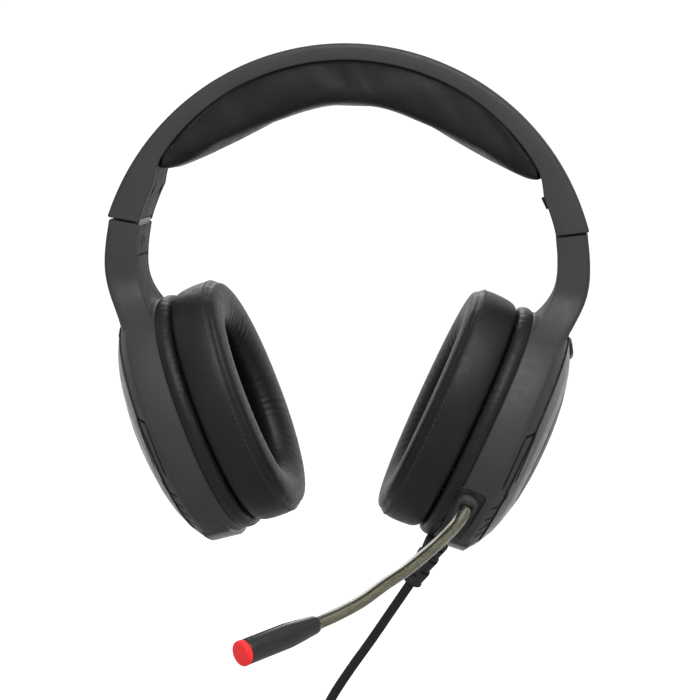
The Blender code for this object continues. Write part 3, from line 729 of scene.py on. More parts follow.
def from_cup(front, up, inward):
    """World place of a point in the left cup's coordinates."""
    return CUP_CENTRE + CUP_FRONT * front + CUP_UP * up + CUP_IN * inward


def oval_direction(angle):
    """Up and front parts of the oval's edge at an angle round it."""
    return [copysign(abs(part) ** (2 / OVAL_POWER), part) for part in (cos(angle), sin(angle))]


def oval_skin(profile, closed=False):
    """A skin round the cup through (half height, half width, inward) sections."""
    edge = [oval_direction(tau * i / CUP_POINTS) for i in range(CUP_POINTS)]
    rings = []
    for tall, wide, inward in profile:
        rings.append([from_cup(front * wide, up * tall, inward) for up, front in edge])
    return skin(rings, closed=closed)


def cup_size(inward):
    """Half height and half width of the cup's outside at one depth."""
    for (h0, w0, s0), (h1, w1, s1) in zip(CUP_PROFILE, CUP_PROFILE[1:]):
        if inward >= s1:
            share = max(0.0, s0 - inward) / (s0 - s1)
            return h0 + (h1 - h0) * share, w0 + (w1 - w0) * share
    return CUP_PROFILE[-1][:2]


def cup_top(front, inward):
    """A point just under the cup's upper outside, at a front coordinate and a depth."""
    height, width = cup_size(inward)
    share = min(0.999, abs(front) / width)
    return from_cup(front, (height - 0.0001) * (1 - share**OVAL_POWER) ** (1 / OVAL_POWER), inward)


def cup_surface(angle, inward, raised=0.0):
    """A point on the cup's outside at an angle round it and a depth."""
    height, width = cup_size(inward)
    up, front = oval_direction(angle)
    return from_cup(front * (width + raised), up * (height + raised), inward)


# ---- headband


def band_inner_radius(angle):
    """Radius of the band's inner edge: thin over the cushion, then a step down to its thicker ends."""
    turn = abs(degrees(angle))
    for (before, low), (after, high) in zip(BAND_INNER_RADII, BAND_INNER_RADII[1:]):
        if turn <= after:
            return low + (high - low) * (turn - before) / (after - before)
    return BAND_INNER_RADII[-1][1]


def band_point(radius, angle, y):
    return Vector((radius * sin(angle), y, BAND_CENTRE_Z + radius * cos(angle)))


def band_shell_ring(share, inset):
    inner_angle = share * BAND_INNER_END
    edge = band_inner_radius(inner_angle)
    half, wall = BAND_HALF_DEPTH, BAND_WALL
    roof = BAND_RADIUS - wall
    outline = filleted(
        [
            (BAND_RADIUS, -half, 0.0019),
            (BAND_RADIUS, half, 0.0019),
            (edge, half, 0.0005),
            (edge, half - wall, 0.0003),
            (roof, half - wall, 0.0008),
            (roof, wall - half, 0.0008),
            (edge, wall - half, 0.0003),
            (edge, -half, 0.0005),
        ]
    )
    ring = []
    for point in shrunk(outline, inset):
        out = (point.x - edge) / (BAND_RADIUS - edge)
        angle = share * (BAND_INNER_END + (BAND_OUTER_END - BAND_INNER_END) * out)
        crown = 0.0005 * (1.0 - (point.y / half) ** 2)
        ring.append(band_point(point.x + crown * max(0.0, out), angle, point.y))
    return ring


def make_headband():
    steps = 150
    bevel = 0.0005 / (BAND_RADIUS * BAND_INNER_END)
    shares = [-1.0, bevel - 1.0] + [2.0 * i / steps - 1.0 for i in range(1, steps)] + [1.0 - bevel, 1.0]
    rings = [band_shell_ring(share, 0.0004 if abs(share) == 1.0 else 0.0) for share in shares]
    piece("headband_shell", skin(rings), "shell_plastic", "headband", replaces=["headband_outer_shell"])
    for side, word in ((1, "left"), (-1, "right")):
        make_end_cover(side, word)


def band_strip(start, end, steps, radius_at, half, thickness, corner, inset):
    """A strip along the inside of the band's end, with its face at radius_at(angle)."""
    rings = []
    for i in range(steps + 1):
        angle = start + (end - start) * i / steps
        low = radius_at(angle)
        high = low + thickness
        corners = [(low, -half, corner), (low, half, corner), (high, half, 0.0002), (high, -half, 0.0002)]
        outline = shrunk(filleted(corners), inset if i in (0, steps) else 0.0)
        rings.append([band_point(p.x, angle, p.y) for p in outline])
    return skin(rings)


def make_end_cover(side, word):
    """Inner cover of the band's end, with its two slanted slots."""
    end = BAND_INNER_END - 0.0180
    half = BAND_HALF_DEPTH - BAND_WALL - GAP

    def face(angle):
        return band_inner_radius(angle) + 0.0001

    cover = piece(
        word + "_inner_end_cover", band_strip(END_COVER_START, end, 40, face, half, 0.0016, 0.0004, 0.0003),
        "cover_plastic", "headband", side=side, replaces=[word + "_band_end_cover"],
    )
    angle = COVER_SLOT_ANGLE
    outwards = Vector((sin(angle), 0.0, cos(angle)))
    along = Vector((cos(angle), 0.0, -sin(angle)))
    tools = []
    for y in (-0.0092, 0.0104):
        place = Matrix.Translation(band_point(band_inner_radius(angle), angle, y))
        where = place @ turned_to(along, outwards.cross(along), outwards) @ Matrix.Rotation(0.25, 4, "Z")
        tools.append(mirrored(slab(pill(0.0052, 0.0030), -0.0010, 0.0030, where, 0.00005), side))
    carve(cover, tools)


def make_slider_face(side, word, body):
    """Steel face of the slider, seen where the band's inner cover ends."""
    start, end = BAND_INNER_END - 0.0140, BAND_INNER_END + 0.0140
    face = band_inner_radius(BAND_INNER_END) + 0.0003
    half = BAND_HALF_DEPTH - BAND_WALL - 2 * GAP
    strip = band_strip(start, end, 6, lambda angle: face, half, 0.0012, 0.0002, 0.0002)
    piece(word + "_slider_face", strip, "steel", body, side=side)


def cushion_ring(x, low, scale):
    """One section of the headband cushion, from its hidden top round its underside."""
    angle = asin(x / BAND_RADIUS)
    for _ in range(6):
        angle = asin(x / band_inner_radius(angle))
    high = BAND_CENTRE_Z + (band_inner_radius(angle) + 0.0012) * cos(angle)
    half, tall = CUSHION_HALF_DEPTH, high - low
    soft = min(0.0062, tall * 0.46)
    corners = [(-half, tall, 0.0004), (-half, 0.0, soft), (half, 0.0, soft), (half, tall, 0.0004)]
    middle = tall * 0.62
    return [Vector((x, p.x * scale, low + middle + (p.y - middle) * scale)) for p in filleted(corners, 6)]


def make_cushion():
    half = smooth_line([(x, 0.0, z) for x, z in CUSHION_UNDERSIDE], 3)
    right = [(p.x, p.z, 1.0) for p in half]
    for turn in (30.0, 55.0, 75.0, 88.0):
        a = radians(turn)
        right.append((half[-1].x + 0.0016 * sin(a), half[-1].z + 0.0003 * sin(a), cos(a) ** 0.5))
    under = [(-x, z, scale) for x, z, scale in right[:0:-1]] + right
    rings = [cushion_ring(*section) for section in under]
    edges = [list(zip(ring, ring[1:] + ring[:1])) for ring in rings]
    counts = [max(max(1, round((b - a).length / 0.0032)) for a, b in column) for column in zip(*edges)]
    fine = [[a + (b - a) * (k / n) for (a, b), n in zip(row, counts) for k in range(n)] for row in edges]
    cushion = piece("headband_padding", skin(fine), "leatherette", "headband", replaces=["headband_cushion"])
    held = []
    for ring in fine:
        top = max(point.z for point in ring) - 0.0016
        near_end = min(1.0, max(0.0, (abs(ring[0].x) - 0.070) / 0.004))
        held += [1.0 if point.z > top else near_end for point in ring]
    inflate(cushion, held, pressure=2.5, limit=0.0012, shrink=-0.004)
    divide(cushion)


# ---- padded pieces


def inflate(obj, held, pressure, limit, shrink):
    """Swells a padded piece by cloth simulation. held says, per vertex, how firmly it is sewn down."""
    scene = bpy.context.scene
    start = [vert.co.copy() for vert in obj.data.vertices]
    group = obj.vertex_groups.new(name="sewn")
    for i, weight in enumerate(held):
        if weight > 0.0:
            group.add([i], weight, "REPLACE")
    cloth = obj.modifiers.new("cloth", "CLOTH")
    settings = cloth.settings
    settings.quality = 6
    settings.mass = 0.25
    settings.tension_stiffness = 22.0
    settings.compression_stiffness = 18.0
    settings.shear_stiffness = 8.0
    settings.bending_stiffness = 1.5
    settings.use_pressure = True
    settings.uniform_pressure_force = pressure
    settings.vertex_group_mass = "sewn"
    settings.shrink_min = shrink
    settings.effector_weights.gravity = 0.0
    cloth.collision_settings.use_collision = False
    cloth.point_cache.frame_start = 1
    cloth.point_cache.frame_end = SWELLING_FRAMES
    for frame_number in range(1, SWELLING_FRAMES + 1):
        scene.frame_set(frame_number)
    apply_modifiers(obj)
    scene.frame_set(1)
    for vert, was in zip(obj.data.vertices, start):
        moved = vert.co - was
        if moved.length > limit:
            vert.co = was + moved * (limit / moved.length)
    obj.vertex_groups.clear()
    obj.data.shade_smooth()


def divide(obj):
    """Subdivides a mesh once."""
    finer = obj.modifiers.new("subdivision", "SUBSURF")
    finer.levels = 1
    finer.render_levels = 1
    apply_modifiers(obj)
    obj.data.shade_smooth()


# ---- arms and cups


def arm_map(across, y, at):
    """Maps a place in the arm's section to the world.

    across runs from the outer face (0) to the inner face (1). at runs from the top of the arm (0) to the
    start of the flare (1), and on over the flare to the cup's surface (2).
    """
    spans = 2.25
    if at <= 1.0:
        outer, inner = arm_edges(at * spans)
        return outer.lerp(inner, across) + Vector((0.0, y, 0.0))
    outer, inner = arm_edges(spans)
    before = arm_edges(spans - 0.05)
    start = outer.lerp(inner, across) + Vector((0.0, y, 0.0))
    down = ((outer - before[0]).normalized().lerp((inner - before[1]).normalized(), across)).normalized()

    def landing(grow):
        a = y / ARM_HALF_DEPTH * grow
        q = (across - 0.5) * grow + 0.5
        inward = FLARE_OUTER + (FLARE_INNER - FLARE_OUTER) * q
        return cup_top(-a * FLARE_HALF_WIDTH, inward)

    end = landing(1.0)
    outward = landing(1.04) - landing(0.96)
    outward = outward.normalized() if outward.length > 1e-7 else down
    t = at - 1.0
    reach = (end - start).length
    h00, h10 = 2 * t**3 - 3 * t**2 + 1, t**3 - 2 * t**2 + t
    h01, h11 = -2 * t**3 + 3 * t**2, t**3 - t**2
    pull = 0.55 + 0.5 * max(abs(y) / ARM_HALF_DEPTH, abs(across - 0.5) * 2.0) ** 2
    return start * h00 + down * (h10 * reach * 1.1) + end * h01 + outward * (h11 * reach * pull)


def arm_edges(at):
    outer = curve_at([(x, 0.0, z) for x, z in ARM_OUTER], at)
    inner = curve_at([(x, 0.0, z) for x, z in ARM_INNER], at)
    return outer, inner


def arm_outline():
    """Section of the arm, as distance from the outer face and y, with a recess for the inner covers."""
    half, thick = ARM_HALF_DEPTH, ARM_THICKNESS
    floor = thick - COVER_THICKNESS - 0.0003
    edge = COVER_HALF_DEPTH + GAP
    corners = [
        (0.0, -half, 0.0019), (thick, -half, 0.0004), (thick, -edge, 0.0002), (floor, -edge, 0.0002),
        (floor, edge, 0.0002), (thick, edge, 0.0002), (thick, half, 0.0004), (0.0, half, 0.0019),
    ]
    dense = []
    for (x, y, radius), (next_x, next_y, _radius) in zip(corners, corners[1:] + corners[:1]):
        dense.append((x, y, radius))
        extra = int(hypot(next_x - x, next_y - y) / 0.0045)
        shares = [k / (extra + 1) for k in range(1, extra + 1)]
        dense += [(x + (next_x - x) * t, y + (next_y - y) * t, 0.0) for t in shares]
    return filleted(dense, 3)


def arm_skin(outline, stations, soft_stations, inset):
    """A skin along the arm, with its outline drawn in by inset at the soft stations."""
    rings = []
    for at in stations:
        ring = shrunk(outline, inset if at in soft_stations else 0.0)
        rings.append([arm_map(p.x / ARM_THICKNESS, p.y, at) for p in ring])
    return skin(rings)


def make_arm(side, word, body):
    stations = [0.0, 0.018] + [0.04 + 0.96 * i / 22 for i in range(23)] + [1.0 + i / 22 for i in range(1, 23)]
    shell = arm_skin(arm_outline(), stations, (0.0,), 0.0005)
    piece(word + "_arm_shell", shell, "shell_plastic", body, side=side)
    stretches = (("upper", 0.03, COVER_SPLIT - 0.010, 14), ("lower", COVER_SPLIT + 0.010, 2.0, 44))
    low, high = ARM_THICKNESS - COVER_THICKNESS, ARM_THICKNESS
    covers = []
    for level, top, bottom, steps in stretches:
        half = COVER_HALF_DEPTH - (LOWER_COVER_MARGIN if level == "lower" else 0.0)
        back = [(low, -half, 0.0002), (low, half, 0.0002)]
        cover = filleted(back + [(high, half, 0.0004), (high, 0.0, 0.0), (high, -half, 0.0004)])
        stations = [top + (bottom - top) * i / steps for i in range(steps + 1)]
        strip = arm_skin(cover, stations, (stations[0], stations[-1]), 0.0003)
        covers.append(
            piece(
                "_".join((word, level, "inner_arm_cover")), strip, "cover_plastic", body, side=side,
                replaces=[word + "_arm_cover_" + level],
            )
        )
    where = arm_map(1.0, 0.0, 0.34)
    ahead = (arm_map(1.0, 0.0, 0.38) - where).normalized()
    across = (arm_map(1.0, 0.004, 0.34) - where).normalized()
    normal = across.cross(ahead).normalized()
    mark = turned_to(ahead, normal.cross(ahead), normal)
    tools = []
    for shift, length in ((-0.0022, 0.0054), (0.0022, 0.0028)):
        place = Matrix.Translation(where + across * shift) @ mark
        tools.append(mirrored(slab(pill(length, 0.0016), -0.0007, 0.0010, place, 0.00003), side))
    carve(covers[0], tools)


def make_cup_shell(side, word, body):
    """Outer wall of the cup, between the pad's skirt and the outer plate."""
    profile = [
        (0.0464, 0.0392, -0.0200), (0.0464, 0.0392, -0.0064), (0.0480, 0.0408, -0.0060),
        (0.0486, 0.0414, -0.0066), (0.0489, 0.0417, -0.0090), (0.0492, 0.0420, -0.0130),
        (0.0492, 0.0420, -0.0170), (0.04905, 0.04185, -0.0180), (0.04855, 0.04135, -0.0188),
        (0.0470, 0.0398, -0.0203), (0.0454, 0.0382, -0.0219), (0.0449, 0.0377, -0.0222),
        (0.0430, 0.0358, -0.0216), (0.0440, 0.0368, -0.0205),
    ]
    shell = piece(
        word + "_cup_shell", oval_skin(profile, closed=True), "shell_plastic", body, side=side,
        replaces=[word + "_cup_housing"], sharp=28.0,
    )
    foot(side, word, body)
    return shell


def foot(side, word, body):
    """Thicker guard along the cup's lowest edge."""
    rings = []
    start, end, steps = radians(150.0), radians(208.0), 40
    for i in range(steps + 1):
        share = i / steps
        angle = start + (end - start) * share
        rise = 0.0016 * min(1.0, share / 0.06, (1 - share) / 0.06)
        section = [(-0.0085, -0.0006), (-0.0090, rise), (-0.0195, rise), (-0.0225, rise - 0.0008)]
        section += [(-0.0232, -0.0010), (-0.0160, -0.0012)]
        rings.append([cup_surface(angle, inward, raised) for inward, raised in section])
    guard = skin(rings)
    piece(word + "_lower_guard", guard, "plate_plastic", body, side=side, sharp=25.0)


def plate_frame(angle, inward):
    """A frame on the cup's outside: x along the depth's slope, z out of the surface."""
    here = cup_surface(angle, inward)
    slope = (cup_surface(angle, inward - 0.0006) - cup_surface(angle, inward + 0.0006)).normalized()
    around = (cup_surface(angle + 0.02, inward) - cup_surface(angle - 0.02, inward)).normalized()
    normal = around.cross(slope)
    if normal.dot(here - CUP_CENTRE) < 0:
        normal = -normal
    normal.normalize()
    around = normal.cross(slope)
    return Matrix.Translation(here) @ turned_to(slope, around, normal)


def groove(start, end, width):
    """A closed cutter along the cup's outside between two (angle in degrees, depth) places."""
    steps = 10

    def spot(share):
        angle, inward = (a + (b - a) * share for a, b in zip(start, end))
        return radians(angle), inward

    rings = []
    for i in range(steps + 1):
        here = cup_surface(*spot(i / steps))
        along = (cup_surface(*spot(i / steps + 0.02)) - here).normalized()
        outward = plate_frame(*spot(i / steps)).to_3x3() @ Vector((0.0, 0.0, 1.0))
        across = along.cross(outward).normalized() * (width / 2 * (0.45 if i in (0, steps) else 1.0))
        low, high = here - outward * SIDE_SLOT_DEPTH, here + outward * 0.0020
        rings.append([high - across, low - across, low + across, high + across])
    return skin(rings)


def make_outer_plate(side, word, body):
    profile = [
        (0.0080, 0.0070, -0.0290), (0.0430, 0.0358, -0.0228), (0.0446, 0.0374, -0.0225),
        (0.0449, 0.0377, -0.0229), (0.0440, 0.0369, -0.0235), (0.0400, 0.0332, -0.0256),
        (0.0392, 0.0324, -0.0261), (0.0384, 0.0317, -0.0264), (0.0350, 0.0288, -0.0277),
        (0.0314, 0.0258, -0.0287), (0.0310, 0.0255, -0.0285), (0.0308, 0.0253, -0.0280),
        (0.0150, 0.0125, -0.0296),
    ]
    plate = piece(
        word + "_side_plate", oval_skin(profile), "plate_plastic", body,
        side=side, replaces=[word + "_outer_plate"], sharp=28.0,
    )
    rim = [
        (0.0080, 0.0068, -0.0298), (0.0302, 0.0248, -0.0281), (0.0306, 0.0251, -0.0285),
        (0.0304, 0.0249, -0.0290), (0.0250, 0.0208, -0.0303), (0.0180, 0.0150, -0.0314),
        (0.0100, 0.0084, -0.0321), (0.0030, 0.0025, -0.0323),
    ]
    piece(
        word + "_plate_centre", oval_skin(rim), "dark_plastic", body,
        side=side, replaces=[word + "_plate_trim"], sharp=28.0,
    )
    return plate


def side_slots():
    """Two long slots and three hooked slats on the bevel towards the front and the foot."""
    long_slots = [
        ((79.5, -0.0226), (104.0, -0.0234)),
        ((83.0, -0.0196), (107.5, -0.0200)),
        ((79.2, -0.0228), (83.2, -0.0194)),
    ]
    slats = [
        ((110.0, -0.0230), (118.5, -0.0222)),
        ((118.0, -0.0220), (119.5, -0.0198)),
        ((123.5, -0.0226), (126.0, -0.0220)),
        ((126.0, -0.0220), (127.5, -0.0196)),
        ((131.0, -0.0220), (136.0, -0.0196)),
        ((139.0, -0.0220), (143.5, -0.0196)),
    ]
    return [groove(*ends, 0.0012) for ends in long_slots] + [groove(*ends, 0.0010) for ends in slats]


def make_pad(side, word, body):
    """Ear pad: an outer wall and an inner facing panel, sewn together along one seam."""
    sections = [
        (0.0440, 0.0368, 0.0003), (0.0462, 0.0388, 0.0004), (0.0478, 0.0403, 0.0016),
        (0.0486, 0.0412, 0.0042), (0.0489, 0.0416, 0.0080), (0.0489, 0.0416, 0.0118),
        (0.0484, 0.0411, 0.0150), (0.0473, 0.0400, 0.0167), (0.0461, 0.0385, 0.0181),
        (0.0440, 0.0356, 0.0188), (0.0405, 0.0312, 0.0190), (0.0368, 0.0270, 0.0184),
        (0.0333, 0.0234, 0.0168), (0.0310, 0.0214, 0.0146), (0.0302, 0.0206, 0.0122),
        (0.0308, 0.0214, 0.0098), (0.0328, 0.0238, 0.0070), (0.0350, 0.0262, 0.0036),
        (0.0362, 0.0276, 0.0005), (0.0390, 0.0310, 0.0003),
    ]
    fine, seam_ring = [], 2 * PAD_SEAM
    for i in range(len(sections)):
        near = [Vector(sections[(i + k) % len(sections)]) for k in (-1, 0, 1, 2)]
        fine += [catmull(*near, 0.0), catmull(*near, 0.5)]
    points = 192
    puckers = random.Random(4)
    wave = [puckers.uniform(-1.0, 1.0) for _ in range(points)]
    rings = []
    for k, section in enumerate(fine):
        ring = []
        from_seam = abs(k - seam_ring)
        for i in range(points):
            up, front = oval_direction(tau * i / points)
            out = wave[i] * 0.00007 * max(0.0, 1.0 - from_seam / 4.0)
            if from_seam == 0:
                out -= 0.00025
            ring.append(from_cup(front * (section.y + out), up * (section.x + out), section.z + out))
        rings.append(ring)
    cover = skin(rings, closed=True)
    pad = piece(word + "_pad_cover", cover, "leatherette", body, side=side, replaces=[word + "_ear_pad"])
    held = []
    for k, section in enumerate(fine):
        sewn = section.z < 0.0012 or k == seam_ring
        held += [1.0 if sewn else 0.0] * points
    inflate(pad, held, pressure=3.0, limit=0.0008, shrink=-0.001)
    divide(pad)
    pleat(pad, side)
    return pad


def pleat(pad, side):
    """Radial pleats where the facing panel turns into the pad's hollow."""
    folds = random.Random(12)
    waves = [(folds.uniform(50.0, 74.0), folds.uniform(0.0, tau)) for _ in range(3)]
    back = CUP_FRAME.inverted()
    normals = [vert.normal.copy() for vert in pad.data.vertices]
    for vert, normal in zip(pad.data.vertices, normals):
        front, up, inward = back @ Vector((vert.co.x * side, vert.co.y, vert.co.z))
        across = hypot(front / 0.0400, up / 0.0473)
        share = min(1.0, max(0.0, (0.80 - across) / 0.10)) * min(1.0, max(0.0, (inward - 0.004) / 0.004))
        if share > 0.0:
            angle = atan2(front / 0.0400, up / 0.0473)
            wave = sum(sin(round(count) * angle + shift) for count, shift in waves) / 3.0
            vert.co += normal * (wave * share * 0.00009)


def make_stitches(side, word, body, pad):
    """Row of stitches beside the pad's seam, laid on the pad's swollen surface."""
    places = [vert.co for vert in pad.data.vertices]
    surface = BVHTree.FromPolygons(places, [face.vertices for face in pad.data.polygons])
    threads = []
    for i in range(STITCHES):
        line = []
        for offset, proud in ((0.16, -0.00012), (0.30, 0.00015), (0.60, 0.00015), (0.74, -0.00012)):
            up, front = oval_direction(tau * (i + offset) / STITCHES)
            far = from_cup(front * 0.0560, up * 0.0640, 0.0146)
            near = from_cup(front * 0.0300, up * 0.0360, 0.0146)
            far.x, near.x = far.x * side, near.x * side
            hit, normal, _index, _distance = surface.ray_cast(far, (near - far).normalized())
            line.append(hit + normal * proud)
        threads.append(tube(line, 0.00017, 6))
    piece(word + "_pad_stitching", joined(threads), "thread", body)


def make_skirt(side, word, body):
    """Gathered leatherette ring between the cup and the pad."""
    sections = [
        (0.0440, 0.0368, -0.0040), (0.0476, 0.0404, -0.0059), (0.0484, 0.0412, -0.0057),
        (0.0489, 0.0417, -0.0046), (0.0490, 0.0418, -0.0032), (0.0486, 0.0414, -0.0018),
        (0.0478, 0.0406, -0.0007), (0.0464, 0.0392, -0.0003), (0.0400, 0.0330, -0.0003),
        (0.0340, 0.0270, -0.0003), (0.0336, 0.0266, -0.0010), (0.0340, 0.0270, -0.0024),
        (0.0400, 0.0330, -0.0026),
    ]
    points = 420
    folds = random.Random(9)
    wave, value = [], 0.0
    for _ in range(points):
        value = 0.45 * value + folds.uniform(-1.0, 1.0)
        wave.append(value)
    rings = []
    for k, (half_height, half_width, inward) in enumerate(sections):
        depth = {4: 0.00006, 5: 0.00012, 6: 0.00016, 7: 0.00010, 3: 0.00003}.get(k, 0.0)
        ring = []
        for i in range(points):
            up, front = oval_direction(tau * i / points)
            gather = wave[i] * depth * (0.6 + 0.4 * max(0.0, cos(tau * i / points)))
            ring.append(from_cup(front * (half_width + gather), up * (half_height + gather), inward))
        rings.append(ring)
    piece(
        word + "_gathered_skirt", skin(rings, closed=True), "leatherette", body, side=side,
        replaces=[word + "_pad_skirt"],
    )


def make_bump(side, word, body):
    """Six-sided button cover on the plate's edge, just below the arm."""
    where = plate_frame(0.0, -0.0245)
    outline = [Vector((cos(tau * k / 6) * 0.0046, sin(tau * k / 6) * 0.0056)) for k in range(6)]
    rings = []
    for inset, z in ((0.0, -0.0010), (0.0, 0.0006), (0.0012, 0.0016), (0.0018, 0.0016), (0.0022, 0.0012)):
        rings.append([where @ Vector((p.x, p.y, z)) for p in shrunk(outline, inset)])
    piece(word + "_hexagonal_cover", skin(rings), "dark_plastic", body, side=side, sharp=25.0)


def make_cup(side, word):
    body = word + "_cup"
    shell = make_cup_shell(side, word, body)
    make_arm(side, word, body)
    make_slider_face(side, word, body)
    plate = make_outer_plate(side, word, body)
    cutters = [mirrored(shape, side) for shape in side_slots()]
    carve(plate, cutters)
    carve(shell, cutters, sharp=28.0)
    make_bump(side, word, body)
    make_skirt(side, word, body)
    pad = make_pad(side, word, body)
    make_stitches(side, word, body, pad)
    return shell


# ---- microphone


def mic_frame():
    """On the cup's rim: +Z points out of the rim, forward and down."""
    outward = (CUP_FRONT * 0.880 - CUP_UP * 0.475).normalized()
    return frame_along(from_cup(*MIC_EXIT), outward, up=CUP_IN)


def bending_stretch(line, place, reach):
    """Ends of the stretch that bends, at reach on either side of the point nearest to place."""
    nearest = min(range(len(line)), key=lambda i: (line[i] - place).length)
    middle, total = line_length(line[: nearest + 1]), line_length(line)
    return [stretch_of(line, at, total)[0] for at in (middle - reach, middle + reach)]


def make_microphone(shell):
    where = mic_frame()
    make_mic_pocket(shell, where)
    line = evenly(smooth_line(BOOM_ROUTE, 8), 0.0010)
    split = round(0.36 * len(line))
    near = bending_stretch(line, BOOM_SWING_PLACE, 0.0060)
    far = bending_stretch(line, BOOM_BEND_PLACE, 0.0080)
    halves = (
        ("lower", 0, split, ("left_cup", "boom_lower"), near, (True, False)),
        ("upper", split, len(line) - 1, ("boom_lower", "boom_upper"), far, (False, True)),
    )
    thick_wire, thin_wire = boom_wires(line)
    for word, first, last, bodies, ends, caps in halves:
        parts = (
            ("clear_sleeve", line, BOOM_RADIUS, 28, "clear_sheath", "clear_sheath", ["boom_sheath_" + word]),
            ("olive_wire", thick_wire, 0.00118, 20, "boom_core", "boom_core", ["boom_core_" + word]),
            ("dark_wire", thin_wire, 0.00034, 12, "thin_wire", "boom_core", []),
        )
        for kind, whole, radius, points, material, slot, replaced in parts:
            shape = tube(whole[first : last + 1], radius, points, caps=caps)
            part = piece("_".join(("boom", word, kind)), shape, material, None, replaces=replaced)
            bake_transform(part)
    piece(
        "boom_root_boot", tube(stretch_of(line, 0.0, 0.0030), 0.00285, 32, ends=0.0003), "rubber", "left_cup",
        replaces=["boom_root_sleeve"],
    )
    make_capsule(line[-1])


def boom_wires(line):
    """Middle lines of the two wires that lie side by side in the clear boom, the thin one uppermost."""
    thick, thin = [], []
    for i, place in enumerate(line):
        ahead = direction_at(line, i)
        upward = Vector((0.0, 0.0, 1.0))
        upward = (upward - ahead * upward.dot(ahead)).normalized()
        thick.append(place - upward * 0.00042)
        thin.append(place + upward * 0.00106)
    return thick, thin


def arc_slot(where, middle, spread, near, far, low, high):
    """A closed cutter bent round the frame's axis, between two radii and two heights."""
    rings = []
    for k in range(9):
        a = radians(middle + spread * (k / 8 - 0.5))
        out = Vector((cos(a), sin(a), 0.0))
        slim = 0.30 * (far - near) if k in (0, 8) else 0.0
        corners = ((near + slim, low), (far - slim, low), (far - slim, high), (near + slim, high))
        rings.append([where @ (out * radius + Vector((0.0, 0.0, z))) for radius, z in corners])
    return skin(rings)


def make_mic_pocket(shell, where):
    """Sunken channel in the rim that opens towards the foot, with a hood round the boom's root."""
    channel_side = [(0.0057, -0.0072, 0.0024), (0.0050, 0.0180, 0.0004)]
    channel = filleted(channel_side + [(-0.0046, 0.0180, 0.0004), (-0.0057, -0.0072, 0.0024)], steps=6)
    rim = slab(channel, -0.0016, 0.0060, where, 0.0002)
    slots = [arc_slot(where, middle, 46.0, 0.0048, 0.0062, -0.0024, 0.0030) for middle in (-58.0, -122.0)]
    carve(shell, [rim], sharp=28.0)
    floor = slab(shrunk(channel, 0.0003), -0.0026, -0.0012, where, 0.0002)
    lining = piece("microphone_pocket_lining", floor, "dark_plastic", "left_cup")
    carve(lining, slots, sharp=28.0)
    behind = slab(shrunk(channel, 0.0006), -0.0027, -0.0022, where, 0.0001)
    piece("microphone_pocket_shadow", behind, "dark_plastic", "left_cup")
    hood_side = [(0.0044, -0.0043, 0.0042), (0.0036, 0.0110, 0.0026)]
    hood = filleted(hood_side + [(-0.0036, 0.0110, 0.0026), (-0.0044, -0.0043, 0.0042)], steps=8)
    rings = []
    for inset, z in ((0.0, -0.0022), (0.0, -0.0004), (0.0002, 0.0004), (0.0008, 0.0010), (0.0016, 0.0013)):
        rings.append([where @ Vector((p.x, p.y, z - max(0.0, p.y) * 0.20)) for p in shrunk(hood, inset)])
    boss = piece(
        "microphone_arch_boss", skin(rings), "shell_plastic", "left_cup",
        replaces=["microphone_boss"],
    )
    carve(boss, [turned([(0.0029, -0.0010), (0.0029, 0.0050)], where, 40)], sharp=28.0)


def make_capsule(start):
    where = frame_along(start, CAPSULE_END - start)
    long = (CAPSULE_END - start).length
    shell = [
        (0.0012, -0.0014), (0.0030, -0.0014), (0.0034, -0.0002), (0.0037, 0.0030), (0.0041, 0.0066),
        (0.00447, 0.0104), (0.00462, 0.0126), (0.00464, long - 0.0002), (0.0042, long),
        (0.0041, long - 0.0020),
    ]
    piece(
        "microphone_capsule", turned(softened(shell, 0.0014, 5), where, 64), "satin_plastic", "boom_upper",
        replaces=["microphone_capsule_shell"],
    )
    cap = [
        (0.0010, long - 0.0018), (0.0040, long - 0.0018), (0.0040, long + 0.0001), (0.00468, long + 0.0002),
        (0.00470, long + 0.0020), (0.0044, long + 0.0024), (0.0020, long + 0.0025), (0.0004, long + 0.0025),
    ]
    piece(
        "microphone_red_disc", turned(softened(cap, 0.0002), where, 64), "red_cap", "boom_upper",
        replaces=["microphone_tip_cap"],
    )


# ---- cable


def coil_slots():
    """Places of the turns in the coil's section, row by row, as (outward, sideways) from its middle."""
    found = []
    high = COIL_PITCH * sqrt(3.0) / 2.0
    for row, (count, shift) in enumerate(((2, -0.5), (3, -1.0), (4, -1.5), (3, -1.0))):
        line = [((shift + k) * COIL_PITCH, (row - 2 + 1 / 3) * high) for k in range(count)]
        found += line if row % 2 == 0 else line[::-1]
    return found


def coil_line():
    """The wound length of the cable. Each turn keeps its place, and moves over to the next near one side."""
    slots = coil_slots()
    last = COIL_START + tau * COIL_TURNS
    end = last + (COIL_END - COIL_START)
    per_turn = 72
    steps = round((end - COIL_START) / tau * per_turn)
    line = []
    for i in range(steps + 1):
        angle = COIL_START + (end - COIL_START) * i / steps
        turns = (angle - COIL_START) / tau
        k = min(int(turns), COIL_TURNS - 1)
        share = min(1.0, max(0.0, (turns - k - 0.62) / 0.38))
        share = share * share * (3.0 - 2.0 * share)
        after = slots[min(k + 1, COIL_TURNS - 1)]
        outward = slots[k][0] + (after[0] - slots[k][0]) * share
        sideways = slots[k][1] + (after[1] - slots[k][1]) * share
        out = Vector((cos(angle), 0.0, sin(angle)))
        line.append(COIL_CENTRE + out * (COIL_MEAN_RADIUS + outward) + Vector((0.0, sideways, 0.0)))
    return line


